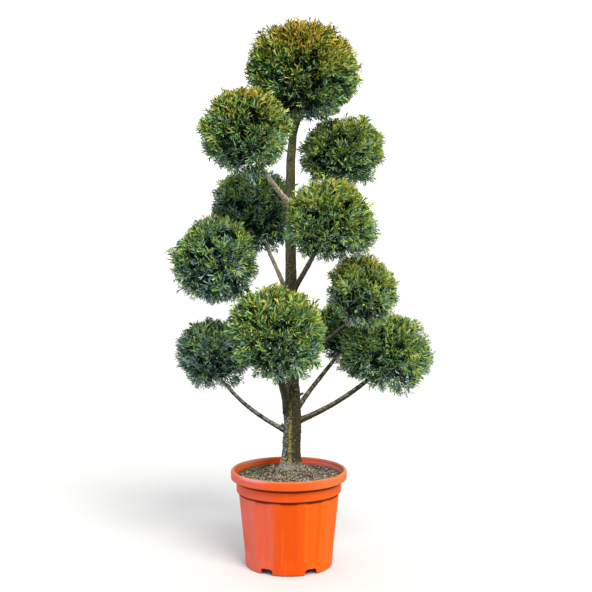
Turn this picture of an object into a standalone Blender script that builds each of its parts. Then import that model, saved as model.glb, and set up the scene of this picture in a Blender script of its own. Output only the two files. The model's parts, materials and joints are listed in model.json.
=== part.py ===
"""Pom-pom cypress: a clipped cypress trained as eleven balls, in a round plastic nursery pot.

Metres, +Z up. The origin is the middle of the pot's underside, which stands on the ground, and
the front of the plant looks along -Y. The trunk stands on the compost in the pot, each bough
grows from the trunk, and each ball of foliage grows from one stem that carries on a bough's tip.
"""

import math
import random
from collections import namedtuple

import bmesh
import bpy
from mathutils import Vector, noise

# Clearance that neighbouring pieces keep, and the width under which a joined mass's points merge
FIT = 0.0003
WELD = 0.000001

# Pot
POT_HEIGHT = 0.308
RIM_RADIUS = 0.185
CREST_RADIUS = 0.178
MOUTH_RADIUS = 0.172
LIP_HEIGHT = 0.028
COLLAR_RADIUS = 0.167
LEDGE_HEIGHT = 0.240
BODY_TOP_RADIUS = 0.1615
BODY_FOOT_RADIUS = 0.1385
WALL = 0.003
BASE_HEIGHT = 0.022
BASE_THICKNESS = 0.003
FOOT_ROUND = 0.006
HUB_RADIUS = 0.022
TURNED_STEPS = 48
FLUTES = 12
FLUTE_DEPTH = 0.0035
FLUTE_HALF_WIDTH = math.radians(11)
FLUTE_FADE = (0.018, 0.055)
NOTCHES = 6
NOTCH_WIDTH = 0.043
NOTCH_HEIGHT = 0.020
NOTCH_CORNER = 0.010

# Compost
COMPOST_TOP = 0.287
COMPOST_SEAT = 0.311
COMPOST_SEAT_RADIUS = 0.052
COMPOST_HEAP_RADIUS = 0.110

# Trunk: two stems grown into one below the fork, one stem above it
TRUNK_SIDES = 16
TRUNK_RINGS = 22
FLARE_WIDTH = 0.014
FLARE_HEIGHT = 0.030
FLARE_LOBES = 5
Station = namedtuple("Station", "height x y half_width half_depth groove")
TRUNK = (
    Station(COMPOST_SEAT + FIT, 0.003, 0.000, 0.0285, 0.0250, 0.20),
    Station(0.370, 0.008, 0.000, 0.0292, 0.0235, 0.22),
    Station(0.434, 0.011, 0.000, 0.0297, 0.0225, 0.24),
    Station(0.500, 0.011, 0.000, 0.0290, 0.0215, 0.26),
    Station(0.577, 0.012, 0.000, 0.0222, 0.0205, 0.08),
    Station(0.700, 0.009, 0.000, 0.0200, 0.0190, 0.04),
    Station(0.900, 0.008, 0.000, 0.0172, 0.0168, 0.00),
    Station(1.150, 0.006, 0.000, 0.0146, 0.0142, 0.00),
    Station(1.285, 0.007, 0.000, 0.0138, 0.0134, 0.00),
    Station(1.360, 0.013, 0.002, 0.0126, 0.0124, 0.00),
    Station(1.409, 0.026, 0.005, 0.0112, 0.0112, 0.00),
)

# Boughs: height on the trunk, shift to the side of its middle, rise in degrees at foot and tip,
# tip, thickness at foot and tip
BOUGH_RESOLUTION = 1
BOUGH_POINTS = 9
BOUGH_HANDLE = 0.36
BOUGH_COLLAR = 0.40
BOUGH_COLLAR_REACH = 0.12
Bough = namedtuple("Bough", "height side leave arrive tip foot_radius tip_radius")
BOUGHS = {
    "upper_left": Bough(1.146, 0.000, 33, 40, (-0.068, -0.100, 1.239), 0.0092, 0.0078),
    "upper_right": Bough(1.045, 0.000, 42, 52, (0.140, 0.075, 1.212), 0.0092, 0.0075),
    "mid_left_back": Bough(0.850, 0.000, 49, 45, (-0.067, 0.130, 1.012), 0.0085, 0.0062),
    "mid_right_front": Bough(0.868, 0.000, 45, 48, (0.074, -0.106, 0.995), 0.0092, 0.0078),
    "left": Bough(0.690, 0.000, 50, 54, (-0.138, -0.009, 0.890), 0.0095, 0.0075),
    "right_upper": Bough(0.638, 0.000, 36, 38, (0.177, -0.075, 0.776), 0.0092, 0.0074),
    "front": Bough(0.480, -0.016, 68, 42, (-0.031, -0.150, 0.637), 0.0120, 0.0100),
    "low_left": Bough(0.419, 0.000, 29, 42, (-0.193, 0.050, 0.559), 0.0088, 0.0062),
    "low_right": Bough(0.452, 0.000, 19, 40, (0.252, 0.020, 0.587), 0.0098, 0.0074),
    "right_back": Bough(0.480, 0.000, 40, 31, (0.149, 0.200, 0.636), 0.0092, 0.0070),
}

# Balls of foliage: middle, half sizes, share of them that the dense core fills, sprays
Ball = namedtuple("Ball", "centre radii core sprays")
BALLS = {
    "top": Ball((0.046, 0.010, 1.561), (0.176, 0.168, 0.160), 0.81, 26),
    "upper_left": Ball((-0.130, -0.140, 1.368), (0.135, 0.132, 0.129), 0.80, 24),
    "upper_right": Ball((0.173, 0.090, 1.315), (0.137, 0.124, 0.110), 0.80, 24),
    "mid_left_back": Ball((-0.115, 0.165, 1.129), (0.137, 0.135, 0.134), 0.79, 24),
    "mid_right_front": Ball((0.129, -0.140, 1.101), (0.143, 0.134, 0.125), 0.81, 24),
    "left": Ball((-0.234, -0.035, 0.976), (0.134, 0.134, 0.135), 0.80, 24),
    "right_upper": Ball((0.227, -0.085, 0.886), (0.112, 0.111, 0.109), 0.80, 22),
    "front": Ball((-0.037, -0.190, 0.767), (0.146, 0.142, 0.137), 0.81, 24),
    "low_left": Ball((-0.251, 0.070, 0.667), (0.116, 0.113, 0.109), 0.72, 24),
    "low_right": Ball((0.302, 0.020, 0.687), (0.144, 0.130, 0.114), 0.76, 24),
    "right_back": Ball((0.196, 0.250, 0.728), (0.110, 0.110, 0.111), 0.78, 22),
}
CORE_LUMPS = 0.07
STEM_SIDES = 8
STEM_LENGTH = 0.5
TWIGS = 10
TWIG_RADIUS = 0.0030
TWIG_REACH = 0.76
SPRAY_ROOT = 0.80
SPRAY_WIDTH = 0.55
SPRAY_THICKNESS = 0.08
STRAY_EVERY = 8
STRAY_REACH = 1.10
LIMB_CLEARANCE = 0.004
NEIGHBOUR_CLEARANCE = 0.002

# Half outline of a spray: share of its length, share of its width
SPRAY_OUTLINE = ((0.00, 0.00), (0.82, 0.46), (0.79, 0.16), (1.00, 0.00))
SPRAY_THICK_AT = 0.66


def clear_scene():
    """Take every object out of the open file."""
    for item in list(bpy.data.objects):
        bpy.data.objects.remove(item, do_unlink=True)


def new_collection(name):
    """A collection linked to the scene."""
    collection = bpy.data.collections.new(name)
    bpy.context.scene.collection.children.link(collection)
    return collection


def material(name, colour, roughness):
    """A Principled material of one colour."""
    made = bpy.data.materials.new(name)
    made.use_nodes = True
    shader = made.node_tree.nodes["Principled BSDF"]
    shader.inputs["Base Color"].default_value = (*colour, 1.0)
    shader.inputs["Roughness"].default_value = roughness
    shader.inputs["Metallic"].default_value = 0.0
    return made


def new_object(name, mesh, collection, finish=None):
    """An object for a mesh, in its collection and with its material."""
    made = bpy.data.objects.new(name, mesh)
    if finish:
        mesh.materials.clear()
        mesh.materials.append(finish)
    collection.objects.link(made)
    return made


def mesh_from(form, name):
    """Turn a bmesh into a mesh."""
    mesh = bpy.data.meshes.new(name)
    form.to_mesh(mesh)
    form.free()
    return mesh


def evaluated_mesh(item, weld=0.00001):
    """The mesh of an object with its modifiers carried out, its doubles merged."""
    graph = bpy.context.evaluated_depsgraph_get()
    mesh = bpy.data.meshes.new_from_object(item.evaluated_get(graph))
    form = bmesh.new()
    form.from_mesh(mesh)
    bmesh.ops.remove_doubles(form, verts=form.verts, dist=weld)
    form.to_mesh(mesh)
    form.free()
    return mesh


def between(value, low, high):
    """How far a value is from low to high, eased, from 0 to 1."""
    share = min(1.0, max(0.0, (value - low) / (high - low)))
    return share * share * (3.0 - 2.0 * share)


def arc(centre, radii, start, end, steps):
    """Points on part of an ellipse in a turned profile, angles in degrees."""
    points = []
    for step in range(steps + 1):
        angle = math.radians(start + (end - start) * step / steps)
        points.append((centre[0] + radii[0] * math.cos(angle),
                       centre[1] + radii[1] * math.sin(angle)))
    return points


def turned(name, profile, collection):
    """A closed body turned round Z from a profile of (radius, height) points."""
    mesh = bpy.data.meshes.new(name)
    edges = [(step, step + 1) for step in range(len(profile) - 1)]
    mesh.from_pydata([(radius, 0.0, height) for radius, height in profile], edges, [])
    item = new_object(name, mesh, collection)
    screw = item.modifiers.new("turn", "SCREW")
    screw.steps = TURNED_STEPS
    screw.render_steps = TURNED_STEPS
    screw.use_merge_vertices = True
    screw.merge_threshold = 0.00005
    solid = evaluated_mesh(item)
    bpy.data.objects.remove(item, do_unlink=True)
    return solid


def press_flutes(mesh):
    """Press the pot's upright flutes into every point below the ledge."""
    pitch = 2.0 * math.pi / FLUTES
    for vertex in mesh.vertices:
        radius = math.hypot(vertex.co.x, vertex.co.y)
        if vertex.co.z > LEDGE_HEIGHT + WALL * 2 or radius < HUB_RADIUS * 2:
            continue
        if radius > BODY_TOP_RADIUS + FIT:
            continue
        angle = math.atan2(vertex.co.y, vertex.co.x)
        off = abs((angle + pitch / 2) % pitch - pitch / 2)
        if off >= FLUTE_HALF_WIDTH:
            continue
        depth = FLUTE_DEPTH * math.cos(off / FLUTE_HALF_WIDTH * math.pi / 2) ** 2
        depth *= between(vertex.co.z, *FLUTE_FADE)
        vertex.co.x *= (radius - depth) / radius
        vertex.co.y *= (radius - depth) / radius


def body_radius(height):
    """Outer radius of the pot's tapering body."""
    share = (height - FOOT_ROUND) / (LEDGE_HEIGHT - FOOT_ROUND)
    return BODY_FOOT_RADIUS + (BODY_TOP_RADIUS - BODY_FOOT_RADIUS) * share


def inner_wall(clearance):
    """The pot's inner wall from its floor up to the lip, pulled in by a clearance."""
    floor = BASE_HEIGHT + BASE_THICKNESS
    ledge = LEDGE_HEIGHT + WALL
    heights = [floor + 0.006, FLUTE_FADE[1], LEDGE_HEIGHT]
    wall = [(body_radius(floor) - WALL - 0.006, floor)]
    wall += [(body_radius(height) - WALL, height) for height in heights]
    wall[-1] = (wall[-1][0], ledge)
    wall.append((COLLAR_RADIUS - WALL - 0.001, ledge))
    return [(radius - clearance, height) for radius, height in wall]


def pot_profile():
    """Half section of the pot, from its floor over the rim to the hub under its base."""
    lip_foot = POT_HEIGHT - LIP_HEIGHT
    crest_drop = 0.008
    profile = [(0.0, BASE_HEIGHT + BASE_THICKNESS)] + inner_wall(0.0)
    profile.append((COLLAR_RADIUS - WALL, lip_foot + 0.006))
    profile += arc((CREST_RADIUS, POT_HEIGHT - crest_drop),
                   (CREST_RADIUS - MOUTH_RADIUS, crest_drop), 180, 90, 2)
    profile += arc((CREST_RADIUS, POT_HEIGHT - crest_drop),
                   (RIM_RADIUS - CREST_RADIUS, crest_drop), 90, 0, 3)[1:]
    profile += [(RIM_RADIUS, lip_foot + 0.003), (RIM_RADIUS - 0.0025, lip_foot)]
    profile += [(COLLAR_RADIUS + 0.0005, lip_foot + 0.003), (COLLAR_RADIUS, LEDGE_HEIGHT + 0.003)]
    profile += [(COLLAR_RADIUS - 0.0012, LEDGE_HEIGHT), (BODY_TOP_RADIUS, LEDGE_HEIGHT - 0.0005)]
    profile += [(body_radius(FLUTE_FADE[1]), FLUTE_FADE[1])]
    profile += arc((BODY_FOOT_RADIUS - FOOT_ROUND, FOOT_ROUND), (FOOT_ROUND, FOOT_ROUND), 0, -90, 2)
    profile += [(BODY_FOOT_RADIUS - FOOT_ROUND - 0.001, BASE_HEIGHT)]
    profile += [(HUB_RADIUS + 0.003, BASE_HEIGHT), (HUB_RADIUS, 0.0), (0.0, 0.0)]
    return profile


def notch_cutter(collection):
    """Six soft-cornered blocks that cut the notches out of the pot's foot ring."""
    form = bmesh.new()
    depth = 0.030
    for step in range(NOTCHES):
        block = bmesh.ops.create_cube(form, size=1.0)["verts"]
        bmesh.ops.scale(form, verts=block, vec=(depth, NOTCH_WIDTH, NOTCH_HEIGHT * 2))
        top = NOTCH_HEIGHT
        edges = {edge for vert in block for edge in vert.link_edges
                 if all(abs(end.co.z - top) < 1e-6 for end in edge.verts)
                 and abs(edge.verts[0].co.y - edge.verts[1].co.y) < 1e-6}
        bevel = bmesh.ops.bevel(form, geom=sorted(edges, key=lambda edge: edge.index),
                                offset=NOTCH_CORNER, segments=2, profile=0.5, affect="EDGES")
        block = {vert for vert in block if vert.is_valid} | set(bevel["verts"])
        turn = 2.0 * math.pi * step / NOTCHES
        for vert in block:
            x, y = vert.co.x + BODY_FOOT_RADIUS - depth / 4, vert.co.y
            vert.co.x = x * math.cos(turn) - y * math.sin(turn)
            vert.co.y = x * math.sin(turn) + y * math.cos(turn)
    cutter = new_object("notch_cutter", mesh_from(form, "notch_cutter"), collection)
    cutter.hide_render = True
    cutter.display_type = "WIRE"
    return cutter


def make_pot(parts, cutters, finish):
    """The pot: turned, fluted, then notched round its foot."""
    mesh = turned("pot", pot_profile(), cutters)
    press_flutes(mesh)
    pot = new_object("pot", mesh, parts, finish)
    notch = pot.modifiers.new("notches", "BOOLEAN")
    notch.operation = "DIFFERENCE"
    notch.object = notch_cutter(cutters)
    return pot


def make_compost(parts, cutters, finish):
    """The compost that fills the pot, heaped a little towards a flat seat for the trunk."""
    wall = inner_wall(FIT * 2)
    wall = [(radius - FLUTE_DEPTH * (height < FLUTE_FADE[1]), height + FIT)
            for radius, height in wall]
    rim = (wall[-1][0], COMPOST_TOP)
    profile = [(0.0, COMPOST_SEAT), (COMPOST_SEAT_RADIUS, COMPOST_SEAT)]
    profile += [(COMPOST_HEAP_RADIUS, COMPOST_TOP + 0.002), rim]
    profile += list(reversed(wall)) + [(0.0, wall[0][1])]
    mesh = turned("compost", profile, cutters)
    press_flutes(mesh)
    return new_object("compost", mesh, parts, finish)


def loft(name, rings):
    """A closed body through rings of points, each with the same number of points."""
    form = bmesh.new()
    rows = [[form.verts.new(point) for point in ring] for ring in rings]
    sides = len(rows[0])
    for lower, upper in zip(rows, rows[1:]):
        for side in range(sides):
            after = (side + 1) % sides
            form.faces.new((lower[side], lower[after], upper[after], upper[side]))
    form.faces.new(list(reversed(rows[0])))
    form.faces.new(rows[-1])
    return mesh_from(form, name)


def trunk_station(height):
    """The trunk's section at a height, eased between the stations above and below it."""
    for lower, upper in zip(TRUNK, TRUNK[1:]):
        if height <= upper.height:
            break
    share = (height - lower.height) / (upper.height - lower.height)
    share = min(1.0, max(0.0, share))
    return Station(*(a + (b - a) * share for a, b in zip(lower, upper)))


def trunk_axis(height):
    """The middle of the trunk at a height."""
    here = trunk_station(height)
    return Vector((here.x, here.y, height))


def trunk_point(height, angle):
    """A point on the trunk's surface: grooved front and back, flared at the foot."""
    here = trunk_station(height)
    above = height - TRUNK[0].height
    flare = FLARE_WIDTH * math.exp(-above / FLARE_HEIGHT)
    flare *= 0.7 + 0.3 * math.cos(FLARE_LOBES * angle + 0.6)
    groove = 1.0 - here.groove * math.sin(angle) ** 12
    knots = 1.0 + 0.05 * noise.noise(Vector((math.cos(angle), math.sin(angle), height * 14.0)))
    return Vector((here.x + (here.half_width * knots + flare) * math.cos(angle),
                   here.y + (here.half_depth * knots * groove + flare) * math.sin(angle),
                   height))


def make_trunk(parts, finish):
    """The trunk from its flat foot on the compost to its tip in the top ball."""
    low, high = TRUNK[0].height, TRUNK[-1].height
    rings = []
    for step in range(TRUNK_RINGS + 1):
        share = step / TRUNK_RINGS
        height = low + (high - low) * share * (0.55 + 0.45 * share)
        rings.append([trunk_point(height, 2.0 * math.pi * side / TRUNK_SIDES)
                      for side in range(TRUNK_SIDES)])
    return new_object("trunk", loft("trunk", rings), parts, finish)


def rising(out, degrees):
    """A direction that rises by an angle from a level one."""
    rise = math.radians(degrees)
    return out * math.cos(rise) + Vector((0.0, 0.0, math.sin(rise)))


def bough_path(name):
    """Points and radii along a bough, from the trunk's middle to its tip."""
    bough = BOUGHS[name]
    start = trunk_axis(bough.height) + Vector((bough.side, 0.0, 0.0))
    tip = Vector(bough.tip)
    out = Vector((tip.x - start.x, tip.y - start.y, 0.0)).normalized()
    handle = (tip - start).length * BOUGH_HANDLE
    hold_a = start + rising(out, bough.leave) * handle
    hold_b = tip - rising(out, bough.arrive) * handle
    points, radii = [], []
    for step in range(BOUGH_POINTS + 1):
        share = step / BOUGH_POINTS
        back = 1.0 - share
        point = start * back ** 3 + hold_a * 3 * back ** 2 * share
        point += hold_b * 3 * back * share ** 2 + tip * share ** 3
        radius = bough.foot_radius * back + bough.tip_radius * share
        radius *= 1.0 + BOUGH_COLLAR * math.exp(-share / BOUGH_COLLAR_REACH)
        points.append(point)
        radii.append(radius)
    return points, radii


def make_bough(name, parts, cutters, trunk_cutter, finish):
    """One tapering limb, its foot shaped to the trunk that it grows from."""
    points, radii = bough_path(name)
    curve = bpy.data.curves.new("bough", "CURVE")
    curve.dimensions = "3D"
    curve.bevel_depth = 1.0
    curve.bevel_resolution = BOUGH_RESOLUTION
    curve.use_fill_caps = True
    spline = curve.splines.new("POLY")
    spline.points.add(len(points) - 1)
    for knot, point, radius in zip(spline.points, points, radii):
        knot.co = (*point, 1.0)
        knot.radius = radius
    path = new_object("path", curve, cutters)
    mesh = evaluated_mesh(path)
    bpy.data.objects.remove(path, do_unlink=True)
    limb = new_object("bough_" + name, mesh, parts, finish)
    joint = limb.modifiers.new("foot", "BOOLEAN")
    joint.operation = "DIFFERENCE"
    joint.object = trunk_cutter
    return limb


def make_trunk_cutter(trunk, cutters):
    """The trunk grown by the clearance, which shapes the boughs' feet."""
    cutter = new_object("trunk_cutter", trunk.data.copy(), cutters)
    grow = cutter.modifiers.new("grow", "DISPLACE")
    grow.strength = FIT * 2
    grow.mid_level = 0.0
    cutter.hide_render = True
    cutter.display_type = "WIRE"
    return cutter


def spread(count, turn):
    """Directions spread evenly over a sphere."""
    golden = math.pi * (3.0 - math.sqrt(5.0))
    directions = []
    for step in range(count):
        up = 1.0 - (2 * step + 1) / count
        flat = math.sqrt(1.0 - up * up)
        directions.append(Vector((flat * math.cos(golden * step + turn),
                                  flat * math.sin(golden * step + turn), up)))
    return directions


def on_ball(ball, direction, share):
    """The point of a ball in a direction, at a share of its size."""
    return Vector(ball.centre) + Vector(
        [part * radius * share for part, radius in zip(direction, ball.radii)])


def depth_in(ball, point):
    """0 at a ball's middle, 1 on its outline."""
    off = Vector(point) - Vector(ball.centre)
    return Vector([part / radius for part, radius in zip(off, ball.radii)]).length


def limb_distance(point, limbs):
    """Distance from a point to the nearest limb's surface."""
    nearest = 1.0
    for points, radii in limbs:
        for here, there, radius in zip(points, points[1:], radii):
            along = there - here
            share = (point - here).dot(along) / along.length_squared
            foot = here + along * min(1.0, max(0.0, share))
            nearest = min(nearest, (point - foot).length - radius)
    return nearest


def tapered_stick(form, start, end, start_radius, end_radius, sides):
    """A closed tapering stick between two points."""
    axis = end - start
    turn = axis.to_track_quat("Z", "Y")
    stick = bmesh.ops.create_cone(form, cap_ends=True, segments=sides, radius1=start_radius,
                                  radius2=end_radius, depth=axis.length)["verts"]
    for vert in stick:
        vert.co = turn @ vert.co + (start + end) / 2


def spray_blade(form, root, tip, roll):
    """A toothed blade: one flat spray of scale leaves, thickest along its middle."""
    axis = tip - root
    turn = axis.to_track_quat("X", "Z")
    length = axis.length
    side = turn @ Vector((0.0, math.cos(roll), math.sin(roll))) * length * SPRAY_WIDTH
    face = turn @ Vector((0.0, -math.sin(roll), math.cos(roll))) * length * SPRAY_THICKNESS
    left = [root + axis * along - side * out for along, out in SPRAY_OUTLINE]
    right = [root + axis * along + side * out for along, out in SPRAY_OUTLINE[-2:0:-1]]
    rim = [form.verts.new(point) for point in left + right]
    for height in (face / 2, -face / 2):
        middle = form.verts.new(root + axis * SPRAY_THICK_AT + height)
        for here, there in zip(rim, rim[1:] + rim[:1]):
            form.faces.new((here, there, middle))
    bmesh.ops.recalc_face_normals(form, faces=form.faces)


def stem_of(name):
    """The foot and the direction of the stem that carries on a bough's or the trunk's tip."""
    if name == "top":
        tip = trunk_axis(TRUNK[-1].height)
        return tip, Vector((0.0, 0.0, 1.0)), TRUNK[-1].half_width * 0.98
    points, radii = bough_path(name)
    return points[-1], (points[-1] - points[-2]).normalized(), radii[-1] * 0.98


def ball_spaces(name):
    """Every other ball, whose space a spray keeps out of."""
    return [ball for other, ball in BALLS.items() if other != name]


def is_free(point, name, limbs):
    """True where a tip reaches neither a limb nor a neighbouring ball's space."""
    if limb_distance(point, limbs) < LIMB_CLEARANCE:
        return False
    for ball in ball_spaces(name):
        room = NEIGHBOUR_CLEARANCE / min(ball.radii)
        if depth_in(ball, point) < 1.0 + room:
            return False
    return True


def mass_pieces(name, limbs):
    """The loose forms of one ball of foliage: core, stem, twigs and sprays."""
    ball = BALLS[name]
    rng = random.Random("cypress " + name)
    tip, along, radius = stem_of(name)
    centre = Vector(ball.centre)
    foot = tip + along * FIT
    heart = foot + along * (centre - foot).length * STEM_LENGTH
    forms = []

    core = bmesh.new()
    bmesh.ops.create_icosphere(core, subdivisions=3, radius=1.0)
    for vert in core.verts:
        lump = noise.noise(vert.co * 2.2 + centre * 9.0)
        vert.co = on_ball(ball, vert.co, ball.core * (1.0 + CORE_LUMPS * lump))
    forms.append(core)

    stem = bmesh.new()
    tapered_stick(stem, foot, heart, radius, radius * 0.5, STEM_SIDES)
    forms.append(stem)

    twigs = []
    for direction in spread(TWIGS, rng.uniform(0.0, 6.28)):
        start = foot.lerp(heart, 0.8 + 0.1 * (1.0 + direction.dot(along)))
        end = on_ball(ball, direction, TWIG_REACH * rng.uniform(0.95, 1.0))
        twigs.append((start, end, direction))
        if not is_free(end, name, limbs):
            continue
        stick = bmesh.new()
        tapered_stick(stick, start, end, TWIG_RADIUS, TWIG_RADIUS * 0.5, 3)
        forms.append(stick)

    for count, direction in enumerate(spread(ball.sprays, rng.uniform(0.0, 6.28))):
        wander = Vector([rng.uniform(-0.12, 0.12) for _ in range(3)])
        direction = (direction + wander).normalized()
        reach = STRAY_REACH if count % STRAY_EVERY == 0 else rng.uniform(0.96, 1.0)
        roll = rng.uniform(0.0, math.pi)
        end = on_ball(ball, direction, reach)
        start, twig_end, _ = max(twigs, key=lambda twig: twig[2].dot(direction))
        root = start.lerp(twig_end, SPRAY_ROOT)
        middle = root.lerp(end, 0.7)
        if not is_free(end, name, limbs) or limb_distance(middle, limbs) < LIMB_CLEARANCE * 2:
            continue
        blade = bmesh.new()
        spray_blade(blade, root, end, roll)
        forms.append(blade)
    return forms


def keep_outer_body(mesh):
    """Keep the largest closed body: sealed hollows are filled and loose scraps dropped."""
    form = bmesh.new()
    form.from_mesh(mesh)
    bmesh.ops.dissolve_degenerate(form, edges=form.edges, dist=WELD)
    unseen = set(form.faces)
    bodies = []
    while unseen:
        queue = [unseen.pop()]
        body = list(queue)
        while queue:
            for edge in queue.pop().edges:
                for face in edge.link_faces:
                    if face in unseen:
                        unseen.remove(face)
                        queue.append(face)
                        body.append(face)
        bodies.append(body)
    bodies.sort(key=len)
    scraps = [face for body in bodies[:-1] for face in body]
    bmesh.ops.delete(form, geom=scraps, context="FACES")
    bmesh.ops.triangulate(form, faces=form.faces)
    form.to_mesh(mesh)
    form.free()


def make_mass(name, limbs, parts, finish):
    """One ball of foliage joined into a single body."""
    pieces = new_collection("pieces_" + name)
    items = [new_object("piece", mesh_from(form, "piece"), pieces)
             for form in mass_pieces(name, limbs)]
    base = items[0]
    pieces.objects.unlink(base)
    parts.objects.link(base)
    union = base.modifiers.new("join", "BOOLEAN")
    union.operation = "UNION"
    union.operand_type = "COLLECTION"
    union.collection = pieces
    union.solver = "MANIFOLD"
    joined = evaluated_mesh(base, WELD)
    for item in items:
        bpy.data.objects.remove(item, do_unlink=True)
    bpy.data.collections.remove(pieces)
    keep_outer_body(joined)
    return new_object("foliage_" + name, joined, parts, finish)


def main():
    """Build the pot, the compost, the trunk, the boughs and the balls of foliage."""
    clear_scene()
    parts = new_collection("pompom_cypress")
    cutters = new_collection("cutters")
    pot_orange = material("pot_orange", (0.86, 0.13, 0.02), 0.42)
    compost_brown = material("compost_brown", (0.07, 0.05, 0.035), 0.95)
    bark = material("bark", (0.16, 0.13, 0.09), 0.9)
    foliage = material("foliage", (0.10, 0.17, 0.04), 0.7)

    make_pot(parts, cutters, pot_orange)
    make_compost(parts, cutters, compost_brown)
    trunk = make_trunk(parts, bark)
    trunk_cutter = make_trunk_cutter(trunk, cutters)
    for name in BOUGHS:
        make_bough(name, parts, cutters, trunk_cutter, bark)

    limbs = [bough_path(name) for name in BOUGHS]
    heights = [TRUNK[0].height + 0.03 * step for step in range(38)]
    limbs.append(([trunk_axis(height) for height in heights],
                  [trunk_station(height).half_width for height in heights]))
    for name in BALLS:
        make_mass(name, limbs, parts, foliage)


main()
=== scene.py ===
"""Pom-pom cypress in a nursery pot: the finished look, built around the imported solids.

Metres, +Z up, the front of the plant along -Y. The plant is put together here as a grower would:
the pot, the compost, the trunk, its boughs, then twigs and sprays of leaves on every bough.
"""

import json
import math
import random
from collections import namedtuple
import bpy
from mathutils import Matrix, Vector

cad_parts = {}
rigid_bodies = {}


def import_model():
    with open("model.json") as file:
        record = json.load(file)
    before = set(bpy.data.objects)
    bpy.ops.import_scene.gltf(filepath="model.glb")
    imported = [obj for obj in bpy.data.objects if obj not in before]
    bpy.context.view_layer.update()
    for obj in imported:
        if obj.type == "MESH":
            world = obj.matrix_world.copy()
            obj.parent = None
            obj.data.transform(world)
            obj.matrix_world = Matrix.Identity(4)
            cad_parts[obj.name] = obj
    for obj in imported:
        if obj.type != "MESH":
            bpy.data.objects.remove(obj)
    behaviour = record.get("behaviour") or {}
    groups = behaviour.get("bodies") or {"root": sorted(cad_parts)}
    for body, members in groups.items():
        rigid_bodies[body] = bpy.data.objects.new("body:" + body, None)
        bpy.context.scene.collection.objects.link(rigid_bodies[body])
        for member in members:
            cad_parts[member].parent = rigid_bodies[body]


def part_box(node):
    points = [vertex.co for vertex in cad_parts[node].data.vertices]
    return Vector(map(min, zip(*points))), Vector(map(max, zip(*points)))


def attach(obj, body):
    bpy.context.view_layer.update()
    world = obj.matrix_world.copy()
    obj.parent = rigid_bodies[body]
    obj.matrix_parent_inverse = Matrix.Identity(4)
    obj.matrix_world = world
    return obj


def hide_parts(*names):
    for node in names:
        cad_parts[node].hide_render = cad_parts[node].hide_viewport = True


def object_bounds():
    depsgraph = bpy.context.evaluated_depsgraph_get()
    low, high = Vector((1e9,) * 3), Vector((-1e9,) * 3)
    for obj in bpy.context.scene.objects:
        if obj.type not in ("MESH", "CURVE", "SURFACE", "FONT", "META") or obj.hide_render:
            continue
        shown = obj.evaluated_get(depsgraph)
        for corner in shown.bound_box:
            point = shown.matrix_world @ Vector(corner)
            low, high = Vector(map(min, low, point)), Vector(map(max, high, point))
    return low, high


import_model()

from types import SimpleNamespace

import bmesh
import bpy
import numpy as np
from mathutils import Vector, noise

solid_low, solid_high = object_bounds()

# POT
# An injection-moulded nursery pot of orange plastic: a rolled lip over a plain collar, a ledge,
# and a tapering body with twelve shallow upright flutes. Its foot ring has six drain notches.

pot_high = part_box("pot")[1]
POT_HEIGHT = pot_high.z
RIM_RADIUS = pot_high.x
CREST_RADIUS = RIM_RADIUS - 0.007
MOUTH_RADIUS = RIM_RADIUS - 0.013
LIP_FOOT = POT_HEIGHT - 0.028
LIP_ROUND = 0.0085
EDGE_ROUND = 0.002
COLLAR_RADIUS = 0.167
LEDGE_HEIGHT = 0.240
BODY_TOP_RADIUS = 0.1615
BODY_FOOT_RADIUS = 0.1385
POT_WALL = 0.003
BASE_HEIGHT = 0.022
FOOT_ROUND = 0.006
INNER_ROUND = 0.006
HUB_RADIUS = 0.022
POT_STEPS = 360
MERGE_WITHIN = 0.00002
EDGE_ANGLE = math.radians(40)
FLUTES = dict(Flutes=12, Depth=0.0036, Half_angle=math.radians(11.8), Floor_angle=math.radians(4.6),
              Fade_low=0.018, Fade_high=0.055)
NOTCHES = 6
NOTCH_SIZE = (0.030, 0.043, 0.020)
NOTCH_CORNER = 0.010

# Between these heights the mark that soil left inside the wall sets in
SOIL_MARK = (0.299, 0.286)


def sign(operation, reflected=False):
    """What an arithmetic sign does to a wire: it adds the Math node that works it out."""
    if reflected:
        return lambda wire, other: wire.board.maths(operation, other, wire)
    return lambda wire, *others: wire.board.maths(operation, wire, *others)


class Wire:
    """A value that runs between nodes, with Python's own signs for arithmetic on it."""

    def __init__(self, board, socket):
        self.board = board
        self.socket = socket

    __add__ = __radd__ = sign("ADD")
    __mul__ = __rmul__ = sign("MULTIPLY")
    __sub__, __rsub__ = sign("SUBTRACT"), sign("SUBTRACT", True)
    __truediv__, __rtruediv__ = sign("DIVIDE"), sign("DIVIDE", True)
    __pow__, __abs__ = sign("POWER"), sign("ABSOLUTE")
    __lt__, __gt__ = sign("LESS_THAN"), sign("GREATER_THAN")


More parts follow.
